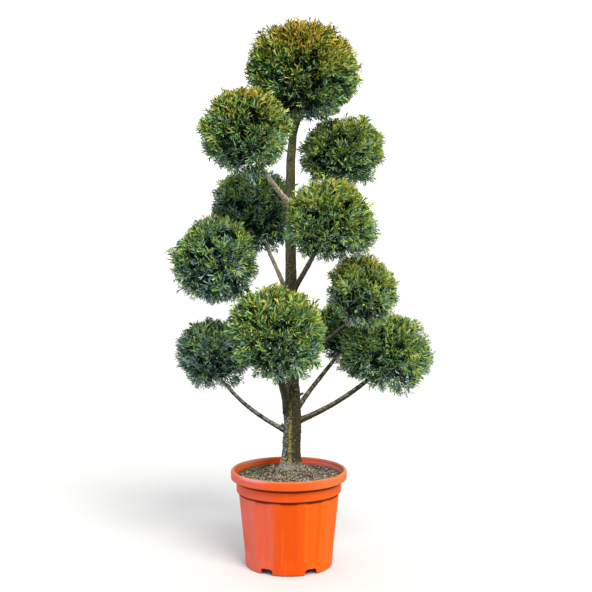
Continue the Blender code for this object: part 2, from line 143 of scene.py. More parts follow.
class Board:
    """A node tree that is being wired, for a finish or for a shape."""

    def __init__(self, tree):
        self.tree = tree

    def add(self, kind, inputs=None, out=0, **settings):
        """Any node: its type, the values or wires of its sockets, its output, and its settings."""
        node = self.tree.nodes.new(kind)
        for key, value in settings.items():
            setattr(node, key, value)
        for key, value in (inputs or {}).items():
            self.feed(node.inputs[key], value)
        return Wire(self, node.outputs[out])

    def feed(self, socket, value):
        """Put a wire or a plain value into a socket."""
        if isinstance(value, Wire):
            self.tree.links.new(value.socket, socket)
        else:
            socket.default_value = value

    def maths(self, operation, *values):
        """A Math node on numbers."""
        return self.add("ShaderNodeMath", dict(enumerate(values)), operation=operation)

    def vector(self, operation, *values):
        """A Vector Math node."""
        return self.add("ShaderNodeVectorMath", dict(enumerate(values)), operation=operation)

    def join(self, x, y, z):
        """A vector from its three parts."""
        return self.add("ShaderNodeCombineXYZ", {0: x, 1: y, 2: z})

    def parts(self, vector):
        """The three parts of a vector."""
        split = self.add("ShaderNodeSeparateXYZ", {0: vector}).socket.node
        return [Wire(self, socket) for socket in split.outputs]

    def ramp(self, value, low, high, to_low=0.0, to_high=1.0):
        """A value eased from one range to another and held at its ends."""
        return self.add("ShaderNodeMapRange", {0: value, 1: low, 2: high, 3: to_low, 4: to_high},
                        interpolation_type="SMOOTHSTEP")

    def grain(self, point, scale, detail=3.0, rough=0.55):
        """Cloudy noise from 0 to 1 at a point."""
        return self.add("ShaderNodeTexNoise", {"Vector": point, "Scale": scale, "Detail": detail,
                                               "Roughness": rough})

    def blend(self, colour, *coats):
        """A colour with others laid over it in turn, each where its mask is 1."""
        for mask, other in coats:
            ends = [value if isinstance(value, Wire) else (*value, 1.0) for value in (colour, other)]
            colour = self.add("ShaderNodeMix", {0: mask, 6: ends[0], 7: ends[1]}, 2, data_type="RGBA")
        return colour


class Finish(Board):
    """A material whose pattern is wired in the object's own coordinates."""

    def __init__(self, name):
        self.material = bpy.data.materials.new(name)
        self.material.use_nodes = True
        super().__init__(self.material.node_tree)
        self.shader = self.tree.nodes["Principled BSDF"]

    def place(self):
        """The point on the piece, in metres."""
        return self.add("ShaderNodeTexCoord", out="Object")

    def facing(self):
        """The three parts of the direction that the surface faces."""
        return self.parts(self.add("ShaderNodeNewGeometry", out="Normal"))

    def set(self, **values):
        """Give the shader's sockets their values; underscores stand for spaces."""
        for key, value in values.items():
            if isinstance(value, tuple):
                value = (*value, 1.0)
            self.feed(self.shader.inputs[key.replace("_", " ")], value)

    def relief(self, height, depth, strength):
        """Feed a height from 0 to 1 into the surface as a bump of that depth."""
        self.set(Normal=self.add("ShaderNodeBump", {
            "Height": height, "Distance": depth, "Strength": strength}))


class Shape(Board):
    """A Geometry Nodes tree with named inputs: its numbers, then those of another kind."""

    def __init__(self, name, numbers="", **others):
        super().__init__(bpy.data.node_groups.new(name, "GeometryNodeTree"))
        inlets = {"Geometry": "Geometry", **dict.fromkeys(numbers.split(), "Float"), **others}
        panel = self.tree.interface
        for inlet, kind in inlets.items():
            panel.new_socket(inlet, in_out="INPUT", socket_type="NodeSocket" + kind)
        panel.new_socket("Geometry", in_out="OUTPUT", socket_type="NodeSocketGeometry")
        entry = self.tree.nodes.new("NodeGroupInput")
        self.exit = self.tree.nodes.new("NodeGroupOutput")
        self.given = SimpleNamespace(**{inlet: Wire(self, entry.outputs[inlet]) for inlet in inlets})

    def close(self, geometry, material):
        """End the tree: instances made real, and the material set."""
        real = self.add("GeometryNodeRealizeInstances", {0: geometry})
        real = self.add("GeometryNodeSetMaterial", {"Geometry": real, "Material": material})
        self.feed(self.exit.inputs[0], real)
        return self

    def make(self, name, source, **sizes):
        """Run the tree on an object and keep the result as a plain mesh of that name."""
        modifier = source.modifiers.new("shape", "NODES")
        modifier.node_group = self.tree
        for item in self.tree.interface.items_tree:
            if item.item_type == "SOCKET" and item.in_out == "INPUT" and item.name in sizes:
                modifier[item.identifier] = sizes[item.name]
        mesh = carried_out(source)
        bpy.data.objects.remove(source, do_unlink=True)
        mesh.name = name
        return new_object(name, mesh)


def new_object(name, data):
    """An object at the origin, linked to the scene."""
    item = bpy.data.objects.new(name, data)
    bpy.context.scene.collection.objects.link(item)
    return item


def carried_out(item):
    """The plain mesh of an object with its modifiers carried out."""
    graph = bpy.context.evaluated_depsgraph_get()
    return bpy.data.meshes.new_from_object(item.evaluated_get(graph))


def from_form(name, form):
    """An object with the mesh that was built up in a form."""
    mesh = bpy.data.meshes.new(name)
    form.to_mesh(mesh)
    form.free()
    return new_object(name, mesh)


def half_section(start, *stretches):
    """Points of a turned profile. A stretch runs straight to its radius and height in so many
    steps, or, with two radii and two angles in degrees, round them as part of an ellipse."""
    points = [start]
    for radius, height, steps, *bend in stretches:
        begin = points[-1]
        for share in (step / steps for step in range(1, steps + 1)):
            if bend:
                wide, tall, first, last = bend
                angle = math.radians(first + (last - first) * share)
                points.append((radius + wide * math.cos(angle), height + tall * math.sin(angle)))
            else:
                points.append(tuple(a + (b - a) * share for a, b in zip(begin, (radius, height))))
    return points


def body_radius(height):
    """Outer radius of the pot's tapering body."""
    share = (height - FOOT_ROUND) / (LEDGE_HEIGHT - FOOT_ROUND)
    return BODY_FOOT_RADIUS + (BODY_TOP_RADIUS - BODY_FOOT_RADIUS) * share


def pot_profile():
    """Half section of the pot, from its floor over the rim to the hub under its base."""
    floor = BASE_HEIGHT + POT_WALL
    corner = body_radius(floor) - POT_WALL - INNER_ROUND
    inner_collar = COLLAR_RADIUS - POT_WALL
    crest = POT_HEIGHT - LIP_ROUND
    foot = BODY_FOOT_RADIUS - FOOT_ROUND
    return half_section(
        (0.0, floor), (corner, floor, 6),
        (corner, floor + INNER_ROUND, 4, INNER_ROUND, INNER_ROUND, -90, 0),
        (body_radius(LEDGE_HEIGHT) - POT_WALL, LEDGE_HEIGHT + POT_WALL, 20),
        (inner_collar - 0.001, LEDGE_HEIGHT + POT_WALL + 0.0006, 1),
        (inner_collar, LIP_FOOT + 0.006, 8), (MOUTH_RADIUS, crest - 0.001, 4), (MOUTH_RADIUS, crest, 1),
        (CREST_RADIUS, crest, 8, CREST_RADIUS - MOUTH_RADIUS, LIP_ROUND, 180, 90),
        (CREST_RADIUS, crest, 9, RIM_RADIUS - CREST_RADIUS, LIP_ROUND, 90, 0),
        (RIM_RADIUS - 0.0006, LIP_FOOT + 0.0024, 6),
        (RIM_RADIUS - 0.0006 - EDGE_ROUND, LIP_FOOT + EDGE_ROUND, 3, EDGE_ROUND, EDGE_ROUND, 0, -90),
        (COLLAR_RADIUS + 0.003, LIP_FOOT, 1), (COLLAR_RADIUS + 0.0005, LIP_FOOT + 0.0022, 1),
        (COLLAR_RADIUS, LEDGE_HEIGHT + 0.0028, 10),
        (COLLAR_RADIUS - 0.0018, LEDGE_HEIGHT + 0.0018, 4, 0.0018, 0.0018, 0, -90),
        (BODY_TOP_RADIUS + 0.0008, LEDGE_HEIGHT, 1), (BODY_TOP_RADIUS, LEDGE_HEIGHT - 0.001, 1),
        (BODY_FOOT_RADIUS, FOOT_ROUND, 44), (foot, FOOT_ROUND, 6, FOOT_ROUND, FOOT_ROUND, 0, -90),
        (foot - 0.001, BASE_HEIGHT, 6), (HUB_RADIUS + 0.003, BASE_HEIGHT, 8),
        (HUB_RADIUS, 0.001, 1), (HUB_RADIUS - 0.001, 0.0, 1), (0.0, 0.0, 1))


def flute_shape():
    """Presses the upright flutes into every point of the body between the hub and the ledge."""
    shape = Shape("pot_flutes", "Depth Half_angle Floor_angle Fade_low Fade_high Ledge Hub",
                  Flutes="Int", Plastic="Material")
    given = shape.given
    x, y, z = shape.parts(shape.add("GeometryNodeInputPosition"))
    radius = (x * x + y * y) ** 0.5
    turns = shape.maths("ARCTAN2", y, x) / (2.0 * math.pi) * given.Flutes
    off = abs(shape.maths("FRACT", turns + 0.5) - 0.5) * (2.0 * math.pi) / given.Flutes
    depth = shape.ramp(off, given.Half_angle, given.Floor_angle)
    depth = depth * shape.ramp(z, given.Fade_low, given.Fade_high) * given.Depth
    depth = depth * (z < given.Ledge) * (radius > given.Hub * 2.0)
    push = depth / shape.maths("MAXIMUM", radius, 0.001) * -1.0
    moved = shape.add("GeometryNodeSetPosition", {
        "Geometry": given.Geometry, "Offset": shape.join(x * push, y * push, 0.0)})
    smooth = shape.add("GeometryNodeSetShadeSmooth", {"Geometry": moved})
    return shape.close(smooth, given.Plastic)


def notch_cutter():
    """Six soft-cornered blocks round the foot ring."""
    form = bmesh.new()
    depth, width, height = NOTCH_SIZE
    for step in range(NOTCHES):
        block = bmesh.ops.create_cube(form, size=1.0)["verts"]
        bmesh.ops.scale(form, verts=block, vec=(depth, width, height * 2))
        edges = [edge for edge in form.edges if edge.verts[0] in block
                 and all(abs(end.co.z - height) < 1e-6 for end in edge.verts)
                 and abs(edge.verts[0].co.y - edge.verts[1].co.y) < 1e-6]
        bevel = bmesh.ops.bevel(form, geom=edges, offset=NOTCH_CORNER, segments=6, profile=0.5,
                                affect="EDGES")
        turn = 2.0 * math.pi * step / NOTCHES
        for vert in {vert for vert in block if vert.is_valid} | set(bevel["verts"]):
            x, y = vert.co.x + BODY_FOOT_RADIUS - depth / 4, vert.co.y
            vert.co.x = x * math.cos(turn) - y * math.sin(turn)
            vert.co.y = x * math.sin(turn) + y * math.cos(turn)
    return from_form("notches", form)


def pot_plastic():
    """Orange polypropylene: flow marks, and soil marks inside the wall and on the foot. Light and shade
    are painted in too: a pinkish painted sheen on faces turned left, brighter faces turned right,
    painted shade inside the wall, on the lip and on the collar, painted shadow lines under the lip
    and the ledge, a painted highlight along the crest and a lilac painted reflection on the lip.
    """
    finish = Finish("pot_orange_plastic")
    ramp, grain = finish.ramp, finish.grain
    point = finish.place()
    x, y, z = finish.parts(point)
    radius = (x * x + y * y) ** 0.5
    normal_x, normal_y, _ = finish.facing()
    clouds = grain(point, 7.0, 4.0)
    streaks = grain(finish.join(x * 60.0, y * 60.0, z * 5.0), 1.0, 4.0)
    # A pinkish painted sheen on faces turned left, in cloudy patches
    left_sheen = grain(finish.join(x * 9.0, y * 9.0, z * 4.0), 1.0, 5.0, 0.6)
    left_sheen = ramp(normal_x, -0.05, -1.05) * ramp(left_sheen, 0.15, 0.50)
    inside = ramp((normal_x * x + normal_y * y) / radius, 0.1, -0.6)
    lip = ramp(radius, COLLAR_RADIUS + 0.004, COLLAR_RADIUS + 0.006)
    collar = ramp(z, LEDGE_HEIGHT, LEDGE_HEIGHT + 0.002) * (1.0 - lip) * (z < LIP_FOOT)
    # A paler painted highlight along the crest of the lip, broken by the flow marks
    crest = ramp(z, POT_HEIGHT - 0.0045, POT_HEIGHT - 0.0008) * ramp(streaks, 0.25, 0.60)
    # A lilac painted reflection along the front left of the lip's crest
    lilac_reflection = ramp(z, POT_HEIGHT - 0.012, POT_HEIGHT - 0.004) * ramp(normal_y, 0.1, -0.5)
    lilac_reflection = lilac_reflection * ramp(x, -0.165, -0.130) * ramp(x, -0.050, -0.110)
    soil_line = ramp(z, *SOIL_MARK) * inside
    splash = ramp(grain(point, 90.0, 4.0, 0.7), 0.57, 0.66)
    dirt = finish.maths("MAXIMUM", soil_line * 0.55, splash * ramp(z, 0.040, 0.002) * 0.40)
    # Painted shadow lines: dark bands under the lip's overhang and under the ledge, reaching lower in the
    # flutes, with wavy edges
    waves = (grain(finish.join(x * 11.0, y * 11.0, 0.0), 1.0, 3.0) - 0.5) * 0.004
    corner = ramp(z + waves, LIP_FOOT - 0.0130, LIP_FOOT - 0.0085) * (z < LIP_FOOT + 0.003)
    corner = corner * ramp(radius, COLLAR_RADIUS + 0.0040, COLLAR_RADIUS + 0.0015)
    hollow = ramp(BODY_TOP_RADIUS - radius, 0.0, 0.003)
    under = ramp(z + waves + hollow * 0.003, LEDGE_HEIGHT - 0.0085, LEDGE_HEIGHT - 0.0050)
    corner = finish.maths("MAXIMUM", corner, under * (z < LEDGE_HEIGHT + 0.0015))
    finish.set(Base_Color=finish.blend(
        (0.455, 0.050, 0.003), (clouds, (0.530, 0.061, 0.004)),
        (ramp(streaks, 0.50, 0.75) * 0.35, (0.62, 0.115, 0.030)),
        # Painted light: the pinkish painted sheen on faces turned left, and brighter orange on faces
        # turned right towards the sun
        (left_sheen, (0.575, 0.120, 0.094)), (ramp(normal_x, 0.12, 0.75), (0.560, 0.091, 0.006)),
        # Painted shade inside the wall, lighter on the inner left wall where it faces the sun, and a
        # pinkish painted reflection on the inner right wall
        (inside, finish.blend((0.450, 0.037, 0.001), (ramp(x, -0.060, -0.110), (0.590, 0.080, 0.003)))),
        (inside * ramp(x, 0.0, 0.060), (0.510, 0.082, 0.062)),
        (inside * ramp(x, 0.090, 0.140), (0.390, 0.118, 0.100)),
        # Painted shade on the lip, darker and redder to offset the sun on it, and a paler painted
        # highlight where it turns right
        (lip * (1.0 - left_sheen) * 0.8, (0.475, 0.073, 0.015)),
        (lip * ramp(normal_x, 0.20, 0.90) * 0.6, (0.430, 0.152, 0.052)),
        # Painted shade on the collar under the lip's overhang, then the crest's painted highlight
        (collar * 0.4, (0.49, 0.062, 0.012)), (crest * 0.85, (0.410, 0.175, 0.085)),
        (lilac_reflection * 0.7, (0.47, 0.215, 0.235)), (dirt, (0.13, 0.040, 0.018)),
        # The painted shadow lines under the lip and the ledge
        (corner * 0.88, (0.080, 0.010, 0.003))))
    finish.set(Roughness=0.34 + clouds * 0.08 + dirt * 0.3 + left_sheen * 0.12, Specular_IOR_Level=0.03)
    rings = finish.maths("SINE", z * 900.0) * 0.06
    finish.relief(grain(point, 240.0, 3.0) * 0.5 + streaks * 0.3 + rings, 0.0005, 0.4)
    return finish.material


def make_pot():
    """Turn the pot, press its flutes, cut its notches, then soften its edges' shading."""
    plastic = pot_plastic()
    profile = pot_profile()
    mesh = bpy.data.meshes.new("pot_section")
    mesh.from_pydata([(radius, 0.0, height) for radius, height in profile],
                     [(step, step + 1) for step in range(len(profile) - 1)], [])
    source = new_object("pot_section", mesh)
    screw = source.modifiers.new("turn", "SCREW")
    screw.steps = screw.render_steps = POT_STEPS
    screw.use_merge_vertices = True
    screw.merge_threshold = MERGE_WITHIN
    pot = flute_shape().make("pot_moulded", source, Ledge=LEDGE_HEIGHT - 0.0004, Hub=HUB_RADIUS,
                             Plastic=plastic, **FLUTES)
    cutter = notch_cutter()
    notch = pot.modifiers.new("notches", "BOOLEAN")
    notch.operation = "DIFFERENCE"
    notch.object = cutter
    notch.solver = "MANIFOLD"
    mesh = carried_out(pot)
    bpy.data.objects.remove(cutter, do_unlink=True)
    pot.modifiers.clear()
    pot.data = mesh
    mesh.materials.clear()
    mesh.materials.append(plastic)
    mesh.shade_smooth()
    mesh.set_sharp_from_angle(angle=EDGE_ANGLE)
    return pot


pot = make_pot()
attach(pot, "root")
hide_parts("pot")

# COMPOST
# Bark-based potting compost, pressed down to a finger's width below the rim and heaped a little
# round the trunk. Dark crumbs, tan and dark bark chips, pale clods, pebbles and moss lie on it.

COMPOST_RADIUS = 0.1626
COMPOST_TOP = 0.287
COMPOST_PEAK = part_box("compost")[1].z - 0.0015
HEAP_RADIUS = 0.052
HEAP_FOOT = 0.110
COMPOST_FLOOR = BASE_HEIGHT + POT_WALL + 0.0005
COMPOST_SIDE = ((COMPOST_RADIUS, LEDGE_HEIGHT + 0.005), (0.1532, LEDGE_HEIGHT - 0.002),
                (0.1315, COMPOST_FLOOR + 0.007), (0.126, COMPOST_FLOOR))
COMPOST_RINGS = 64
COMPOST_STEPS = 200
BIT_WOBBLE = 0.7
BIT_PITCH = 2.3
LEAST_LITTER = 0.04
LEVEL_ENOUGH = 0.4

# Lumps on the compost: how many to the metre, their own seed and their height
COMPOST_LUMPS = ((38, 3.0, 0.0022), (110, 8.0, 0.0014))


def compost_height(x, y):
    """Height of the compost's surface: a low heap with lumps, pressed down to the wall."""
    share = min(1.0, max(0.0, (HEAP_FOOT - math.hypot(x, y)) / (HEAP_FOOT - HEAP_RADIUS)))
    heap = COMPOST_TOP + (COMPOST_PEAK - COMPOST_TOP) * share * share * (3 - 2 * share)
    return heap + sum(noise.noise((x * waves, y * waves, seed)) * rise
                      for waves, seed, rise in COMPOST_LUMPS)


def circle(radius, height=compost_height):
    """A ring of points round Z, at the height that a rule gives for each."""
    turns = [2 * math.pi * step / COMPOST_STEPS for step in range(COMPOST_STEPS)]
    places = [(radius * math.cos(turn), radius * math.sin(turn)) for turn in turns]
    return [(x, y, height(x, y)) for x, y in places]


def lofted(name, rings):
    """A closed body through rings of points, from its top down. An end ring of one point closes
    by itself, and a wider one with a flat face."""
    form = bmesh.new()
    rings = [[form.verts.new(point) for point in ring] for ring in rings]
    sides = max(len(ring) for ring in rings)
    for upper, lower in zip(rings, rings[1:]):
        for side in range(sides):
            after = (side + 1) % sides
            corners = (upper[side % len(upper)], lower[side % len(lower)],
                       lower[after % len(lower)], upper[after % len(upper)])
            form.faces.new(list(dict.fromkeys(corners)))
    for end in (rings[0], rings[-1][::-1]):
        if len(end) > 1:
            form.faces.new(end)
    body = from_form(name, form)
    body.data.shade_smooth()
    return body


def earth_finish():
    """Moist compost: black-brown, with rusty and grey crumbs worked in."""
    finish = Finish("compost_dark")
    point = finish.place()
    crumbs = finish.grain(point, 210.0, 6.0, 0.75)
    patches = finish.grain(point, 28.0, 3.0)
    finish.set(Roughness=0.92, Base_Color=finish.blend(
        (0.008, 0.007, 0.006), (finish.ramp(crumbs, 0.35, 0.70), (0.065, 0.050, 0.034)),
        (finish.ramp(patches, 0.52, 0.68) * 0.6, (0.05, 0.050, 0.022))))
    finish.relief(crumbs, 0.004, 0.8)
    return finish.material


def bit_finish(name, colour, other, scale, roughness=0.9):
    """A finish for one kind of bit on the compost: two colours in patches of that scale."""
    finish = Finish(name)
    point = finish.place()
    cloud = finish.grain(point, scale, 4.0, 0.65)
    finish.set(Base_Color=finish.blend(colour, (finish.ramp(cloud, 0.36, 0.64), other)),
               Roughness=roughness)
    finish.relief(finish.grain(point, 900.0, 3.0), 0.0008, 0.6)
    return finish.material


def lump(name, size, seed, subdivisions=1):
    """A closed irregular bit: a ball of few faces, pulled to a chip's or a crumb's shape."""
    form = bmesh.new()
    bmesh.ops.create_icosphere(form, subdivisions=subdivisions, radius=0.5)
    for vert in form.verts:
        wobble = 1.0 + BIT_WOBBLE * noise.noise(vert.co * BIT_PITCH + Vector((seed, seed * 0.7, 0.0)))
        vert.co = vert.co * Vector(size) * wobble
    return from_form(name, form)


def litter_shape():
    """Strews copies of some bits over a surface, thicker towards a side, at random turns."""
    shape = Shape("litter", "Density Small Large Lift Lean_x Lean_y Tilt Inner Outer",
                  Bits="Collection", Seed="Int", Stuff="Material")
    given = shape.given
    x, y, _ = shape.parts(shape.add("GeometryNodeInputPosition"))
    radius = (x * x + y * y) ** 0.5
    lean = 0.5 + x * given.Lean_x + y * given.Lean_y
    _, _, up = shape.parts(shape.add("GeometryNodeInputNormal"))
    band = (radius > given.Inner) * (radius < given.Outer) * (up > LEVEL_ENOUGH)
    strewn = shape.add("GeometryNodeDistributePointsOnFaces", {
        "Mesh": given.Geometry, "Seed": given.Seed,
        "Density": shape.maths("MAXIMUM", lean, LEAST_LITTER) * band * given.Density})
    turn = shape.add("FunctionNodeRandomValue", {
        0: shape.join(given.Tilt * -1.0, given.Tilt * -1.0, 0.0),
        1: shape.join(given.Tilt, given.Tilt, 2.0 * math.pi), "Seed": given.Seed},
        data_type="FLOAT_VECTOR")
    size = shape.add("FunctionNodeRandomValue", {
        2: given.Small, 3: given.Large, "Seed": given.Seed + 1.0}, 1, data_type="FLOAT")
    lifted = shape.add("GeometryNodeSetPosition", {
        "Geometry": strewn, "Offset": shape.join(0.0, 0.0, given.Lift)})
    bits = shape.add("GeometryNodeCollectionInfo", {
        "Collection": given.Bits, "Separate Children": True, "Reset Children": True})
    strewn = shape.add("GeometryNodeInstanceOnPoints", {
        "Points": lifted, "Instance": bits, "Pick Instance": True, "Rotation": turn, "Scale": size})
    return shape.close(strewn, given.Stuff)


def collected(name, items):
    """Move some objects into a collection of their own, out of the scene."""
    collection = bpy.data.collections.new(name)
    for item in items:
        bpy.context.scene.collection.objects.unlink(item)
        collection.objects.link(item)
    return collection


def clear_away(collection):
    """Remove the patterns that copies were made from."""
    for item in list(collection.objects):
        bpy.data.objects.remove(item, do_unlink=True)
    bpy.data.collections.remove(collection)


compost = lofted("compost_bed", [
    [(0.0, 0.0, compost_height(0.0, 0.0))],
    *(circle(COMPOST_RADIUS * ring / COMPOST_RINGS) for ring in range(1, COMPOST_RINGS + 1)),
    *(circle(radius, lambda x, y: height) for radius, height in COMPOST_SIDE),
    [(0.0, 0.0, COMPOST_FLOOR)]])
compost.data.materials.append(earth_finish())
crumb_bits = collected("crumbs", [lump("crumb", (1.2, 0.9, 0.7), seed) for seed in (1, 2, 3)])
chip_bits = collected("chips", [lump("chip", (1.7, 0.8, 0.28), seed, 2) for seed in (4, 5, 6, 7)])
tuft_bits = collected("tufts", [lump("tuft", (1.0, 0.9, 0.8), seed, 2) for seed in (8, 9)])

# Each kind of litter: its bits, how many, their sizes in the order named first, and its finish
LITTER_SIZES = ("Seed", "Small", "Large", "Lift", "Lean_x", "Lean_y", "Tilt", "Inner", "Outer")
LITTER = {
    "compost_crumbs": (crumb_bits, 9000, (3, 0.0018, 0.0052, 0.0004, 0.0, 0.0, 1.2, 0.0, 0.161),
                       bit_finish("crumb_brown", (0.012, 0.009, 0.007), (0.075, 0.048, 0.030), 60.0)),
    "compost_chips": (chip_bits, 620, (11, 0.0036, 0.0095, 0.0012, 2.0, -5.0, 0.6, 0.0, 0.157),
                      bit_finish("chip_tan", (0.080, 0.058, 0.038), (0.36, 0.27, 0.18), 95.0)),
    "compost_soil": (crumb_bits, 1150, (17, 0.0020, 0.0068, 0.0008, 0.0, -9.0, 1.2, 0.0, 0.150),
                     bit_finish("clod_tan", (0.140, 0.112, 0.082), (0.38, 0.32, 0.25), 80.0)),
    "compost_dark_chips": (chip_bits, 1240, (23, 0.0036, 0.0100, 0.0010, 0.0, 0.0, 0.7, 0.0, 0.157),
                           bit_finish("chip_dark", (0.018, 0.015, 0.012), (0.120, 0.112, 0.100), 75.0)),
    "compost_pebbles": (crumb_bits, 46, (31, 0.0030, 0.0070, 0.0012, 0.0, -1.0, 0.8, 0.03, 0.157),
                        bit_finish("pebble_pale", (0.42, 0.44, 0.43), (0.66, 0.64, 0.58), 200.0, 0.7)),
    "compost_moss": (tuft_bits, 420, (47, 0.0030, 0.0085, 0.0006, -2.0, -1.0, 0.5, 0.03, 0.158),
                     bit_finish("moss_green", (0.032, 0.048, 0.010), (0.19, 0.24, 0.040), 120.0)),
}
litter = litter_shape()
for name, (bits, count, sizes, stuff) in LITTER.items():
    strewn = litter.make(name, new_object("bed", compost.data.copy()), Bits=bits, Stuff=stuff,
                         Density=2.0 * count / (math.pi * COMPOST_RADIUS ** 2),
                         **dict(zip(LITTER_SIZES, sizes)))
    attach(strewn, "root")
for patterns in (crumb_bits, chip_bits, tuft_bits):
    clear_away(patterns)
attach(compost, "root")
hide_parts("compost")

# TRUNK
# Two stems of cypress wood that have grown into one up to knee height, then a single leader that
# runs up into the top ball. Bark: furrowed and grey-brown, mossy in the seam, smoother higher up.

Station = namedtuple("Station", "height x y half_width half_depth groove")
trunk_low, trunk_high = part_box("trunk")
TRUNK = (
    Station(trunk_low.z, 0.003, 0.000, 0.0285, 0.0250, 0.20),
    Station(0.370, 0.008, 0.000, 0.0292, 0.0235, 0.22),
    Station(0.434, 0.011, 0.000, 0.0297, 0.0225, 0.24),
    Station(0.500, 0.011, 0.000, 0.0290, 0.0215, 0.26),
    Station(0.577, 0.012, 0.000, 0.0222, 0.0205, 0.08),
    Station(0.700, 0.009, 0.000, 0.0200, 0.0190, 0.04),
    Station(0.900, 0.0066, 0.000, 0.0186, 0.0168, 0.00),
    Station(1.150, 0.0048, 0.000, 0.0158, 0.0142, 0.00),
    Station(1.285, 0.0062, 0.000, 0.0146, 0.0134, 0.00),
    Station(1.360, 0.013, 0.002, 0.0126, 0.0124, 0.00),
    Station(trunk_high.z, 0.026, 0.005, 0.0112, 0.0112, 0.00),
)
TRUNK_SIDES = 150
TRUNK_RINGS = 560
RING_CROWDING = 0.38
TRUNK_BARK = dict(Depth=0.0036, Furrow_width=0.0085, Stretch=4.2, Calm_from=0.46, Calm_to=0.95)
FLARE_WIDTH = 0.017
FLARE_HEIGHT = 0.030
FLARE_LOBES = 5
FLARE_TURN = 0.6
GROOVE_SHARPNESS = 12
TRUNK_KNOTS = 0.05
KNOTS_PER_METRE = 14.0
SEAM_FOOT = (0.0017, 0.330)
SEAM_LEAN = 0.0182
SEAM_TOP = 0.528
KNOT_HEIGHT = 0.474

# Pruned stubs: height, side in degrees (0 is +X, -90 the front), length, radius
STUBS = ((0.546, -12, 0.012, 0.0042), (0.448, 196, 0.010, 0.0048), (0.560, -70, 0.011, 0.0052),
         (0.585, 150, 0.012, 0.0045), (0.720, 20, 0.012, 0.0040), (0.795, -120, 0.009, 0.0042),
         (0.940, 100, 0.010, 0.0036), (1.090, -40, 0.009, 0.0034), (1.205, 12, 0.012, 0.0030),
         (1.310, 200, 0.010, 0.0030), (0.380, 80, 0.009, 0.0050), (0.660, 95, 0.010, 0.0042))
STUB_STEPS = 14
STUB_BARK = dict(Sides=20, Depth=0.0009, Furrow_width=0.004, Stretch=2.0, Calm_from=3.0, Calm_to=4.0)
BARK_SIZES = "Depth Furrow_width Stretch Calm_from Calm_to"


def trunk_station(height):
    """The trunk's section at a height, between the stations above and below it."""
    for lower, upper in zip(TRUNK, TRUNK[1:]):
        if height <= upper.height:
            break
    share = min(1.0, max(0.0, (height - lower.height) / (upper.height - lower.height)))
    return Station(*(a + (b - a) * share for a, b in zip(lower, upper)))


def trunk_axis(height):
    """The middle of the trunk at a height."""
    here = trunk_station(height)
    return Vector((here.x, here.y, height))


def trunk_point(height, angle, swell=0.0):
    """A point on the trunk: grooved front and back, lobed and flared at the foot."""
    here = trunk_station(height)
    flare = FLARE_WIDTH * math.exp((trunk_low.z - height) / FLARE_HEIGHT)
    flare *= 0.7 + 0.3 * math.cos(FLARE_LOBES * angle + FLARE_TURN)
    east, north = math.cos(angle), math.sin(angle)
    groove = 1.0 - here.groove * north ** GROOVE_SHARPNESS
    knots = 1.0 + TRUNK_KNOTS * noise.noise(Vector((east, north, height * KNOTS_PER_METRE)))
    return Vector((here.x + (here.half_width * knots + flare + swell) * east,
                   here.y + (here.half_depth * knots * groove + flare + swell) * north, height))


def bark_relief(shape, geometry):
    """Moves every point along its normal: long furrows, flaking plates and fine cracks."""
    given = shape.given
    point = shape.add("GeometryNodeInputPosition")
    x, y, z = shape.parts(point)
    drift = shape.grain(point, 22.0, 2.0) - 0.5
    wide = given.Furrow_width
    stretched = shape.join(x / wide + drift, y / wide + drift, z / (wide * given.Stretch))
    furrows = 1.0 - abs(shape.grain(stretched, 0.55, 4.0, 0.6) * 2.0 - 1.0)
    furrows = shape.ramp(furrows, 0.60, 1.0, 0.0, -1.0)
    plates = shape.grain(stretched, 1.7, 4.0, 0.65) - 0.5
    plates = plates + (shape.grain(point, 130.0, 2.0) - 0.5) * 1.2
    cracks = shape.grain(shape.vector("MULTIPLY", point, (900.0, 900.0, 260.0)), 1.0, 3.0) - 0.5
    calm = shape.ramp(z, given.Calm_from, given.Calm_to, 1.0, 0.28)
    lift = (furrows * 0.75 + plates * 0.9 + cracks * 0.35) * given.Depth * calm
    away = shape.vector("MULTIPLY", shape.add("GeometryNodeInputNormal"), shape.join(lift, lift, lift))
    return shape.add("GeometryNodeSetPosition", {"Geometry": geometry, "Offset": away})


def trunk_shape():
    """Bark relief on a lofted body."""
    shape = Shape("bark_on_trunk", BARK_SIZES, Bark="Material")
    return shape.close(bark_relief(shape, shape.given.Geometry), shape.given.Bark)


def limb_shape():
    """A tube along a path, as thick as the path's own radius, with bark relief on it."""
    shape = Shape("limb_with_bark", BARK_SIZES, Sides="Int", Bark="Material")
    ring = shape.add("GeometryNodeCurvePrimitiveCircle", {
        "Resolution": shape.given.Sides, "Radius": 1.0})
    path = shape.add("GeometryNodeStoreNamedAttribute", {
        "Geometry": shape.given.Geometry, "Name": "along",
        "Value": shape.add("GeometryNodeSplineParameter", out="Length")})
    tube = shape.add("GeometryNodeCurveToMesh", {
        "Curve": path, "Profile Curve": ring,
        "Scale": shape.add("GeometryNodeInputRadius"), "Fill Caps": True})
    smooth = shape.add("GeometryNodeSetShadeSmooth", {"Geometry": tube})
    return shape.close(bark_relief(shape, smooth), shape.given.Bark)


def path_object(name, points, radii):
    """A path with a radius at each of its points."""
    curve = bpy.data.curves.new(name, "CURVE")
    curve.dimensions = "3D"
    spline = curve.splines.new("POLY")
    spline.points.add(len(points) - 1)
    for knot, point, radius in zip(spline.points, points, radii):
        knot.co = (*point, 1.0)
        knot.radius = radius
    return new_object(name, curve)


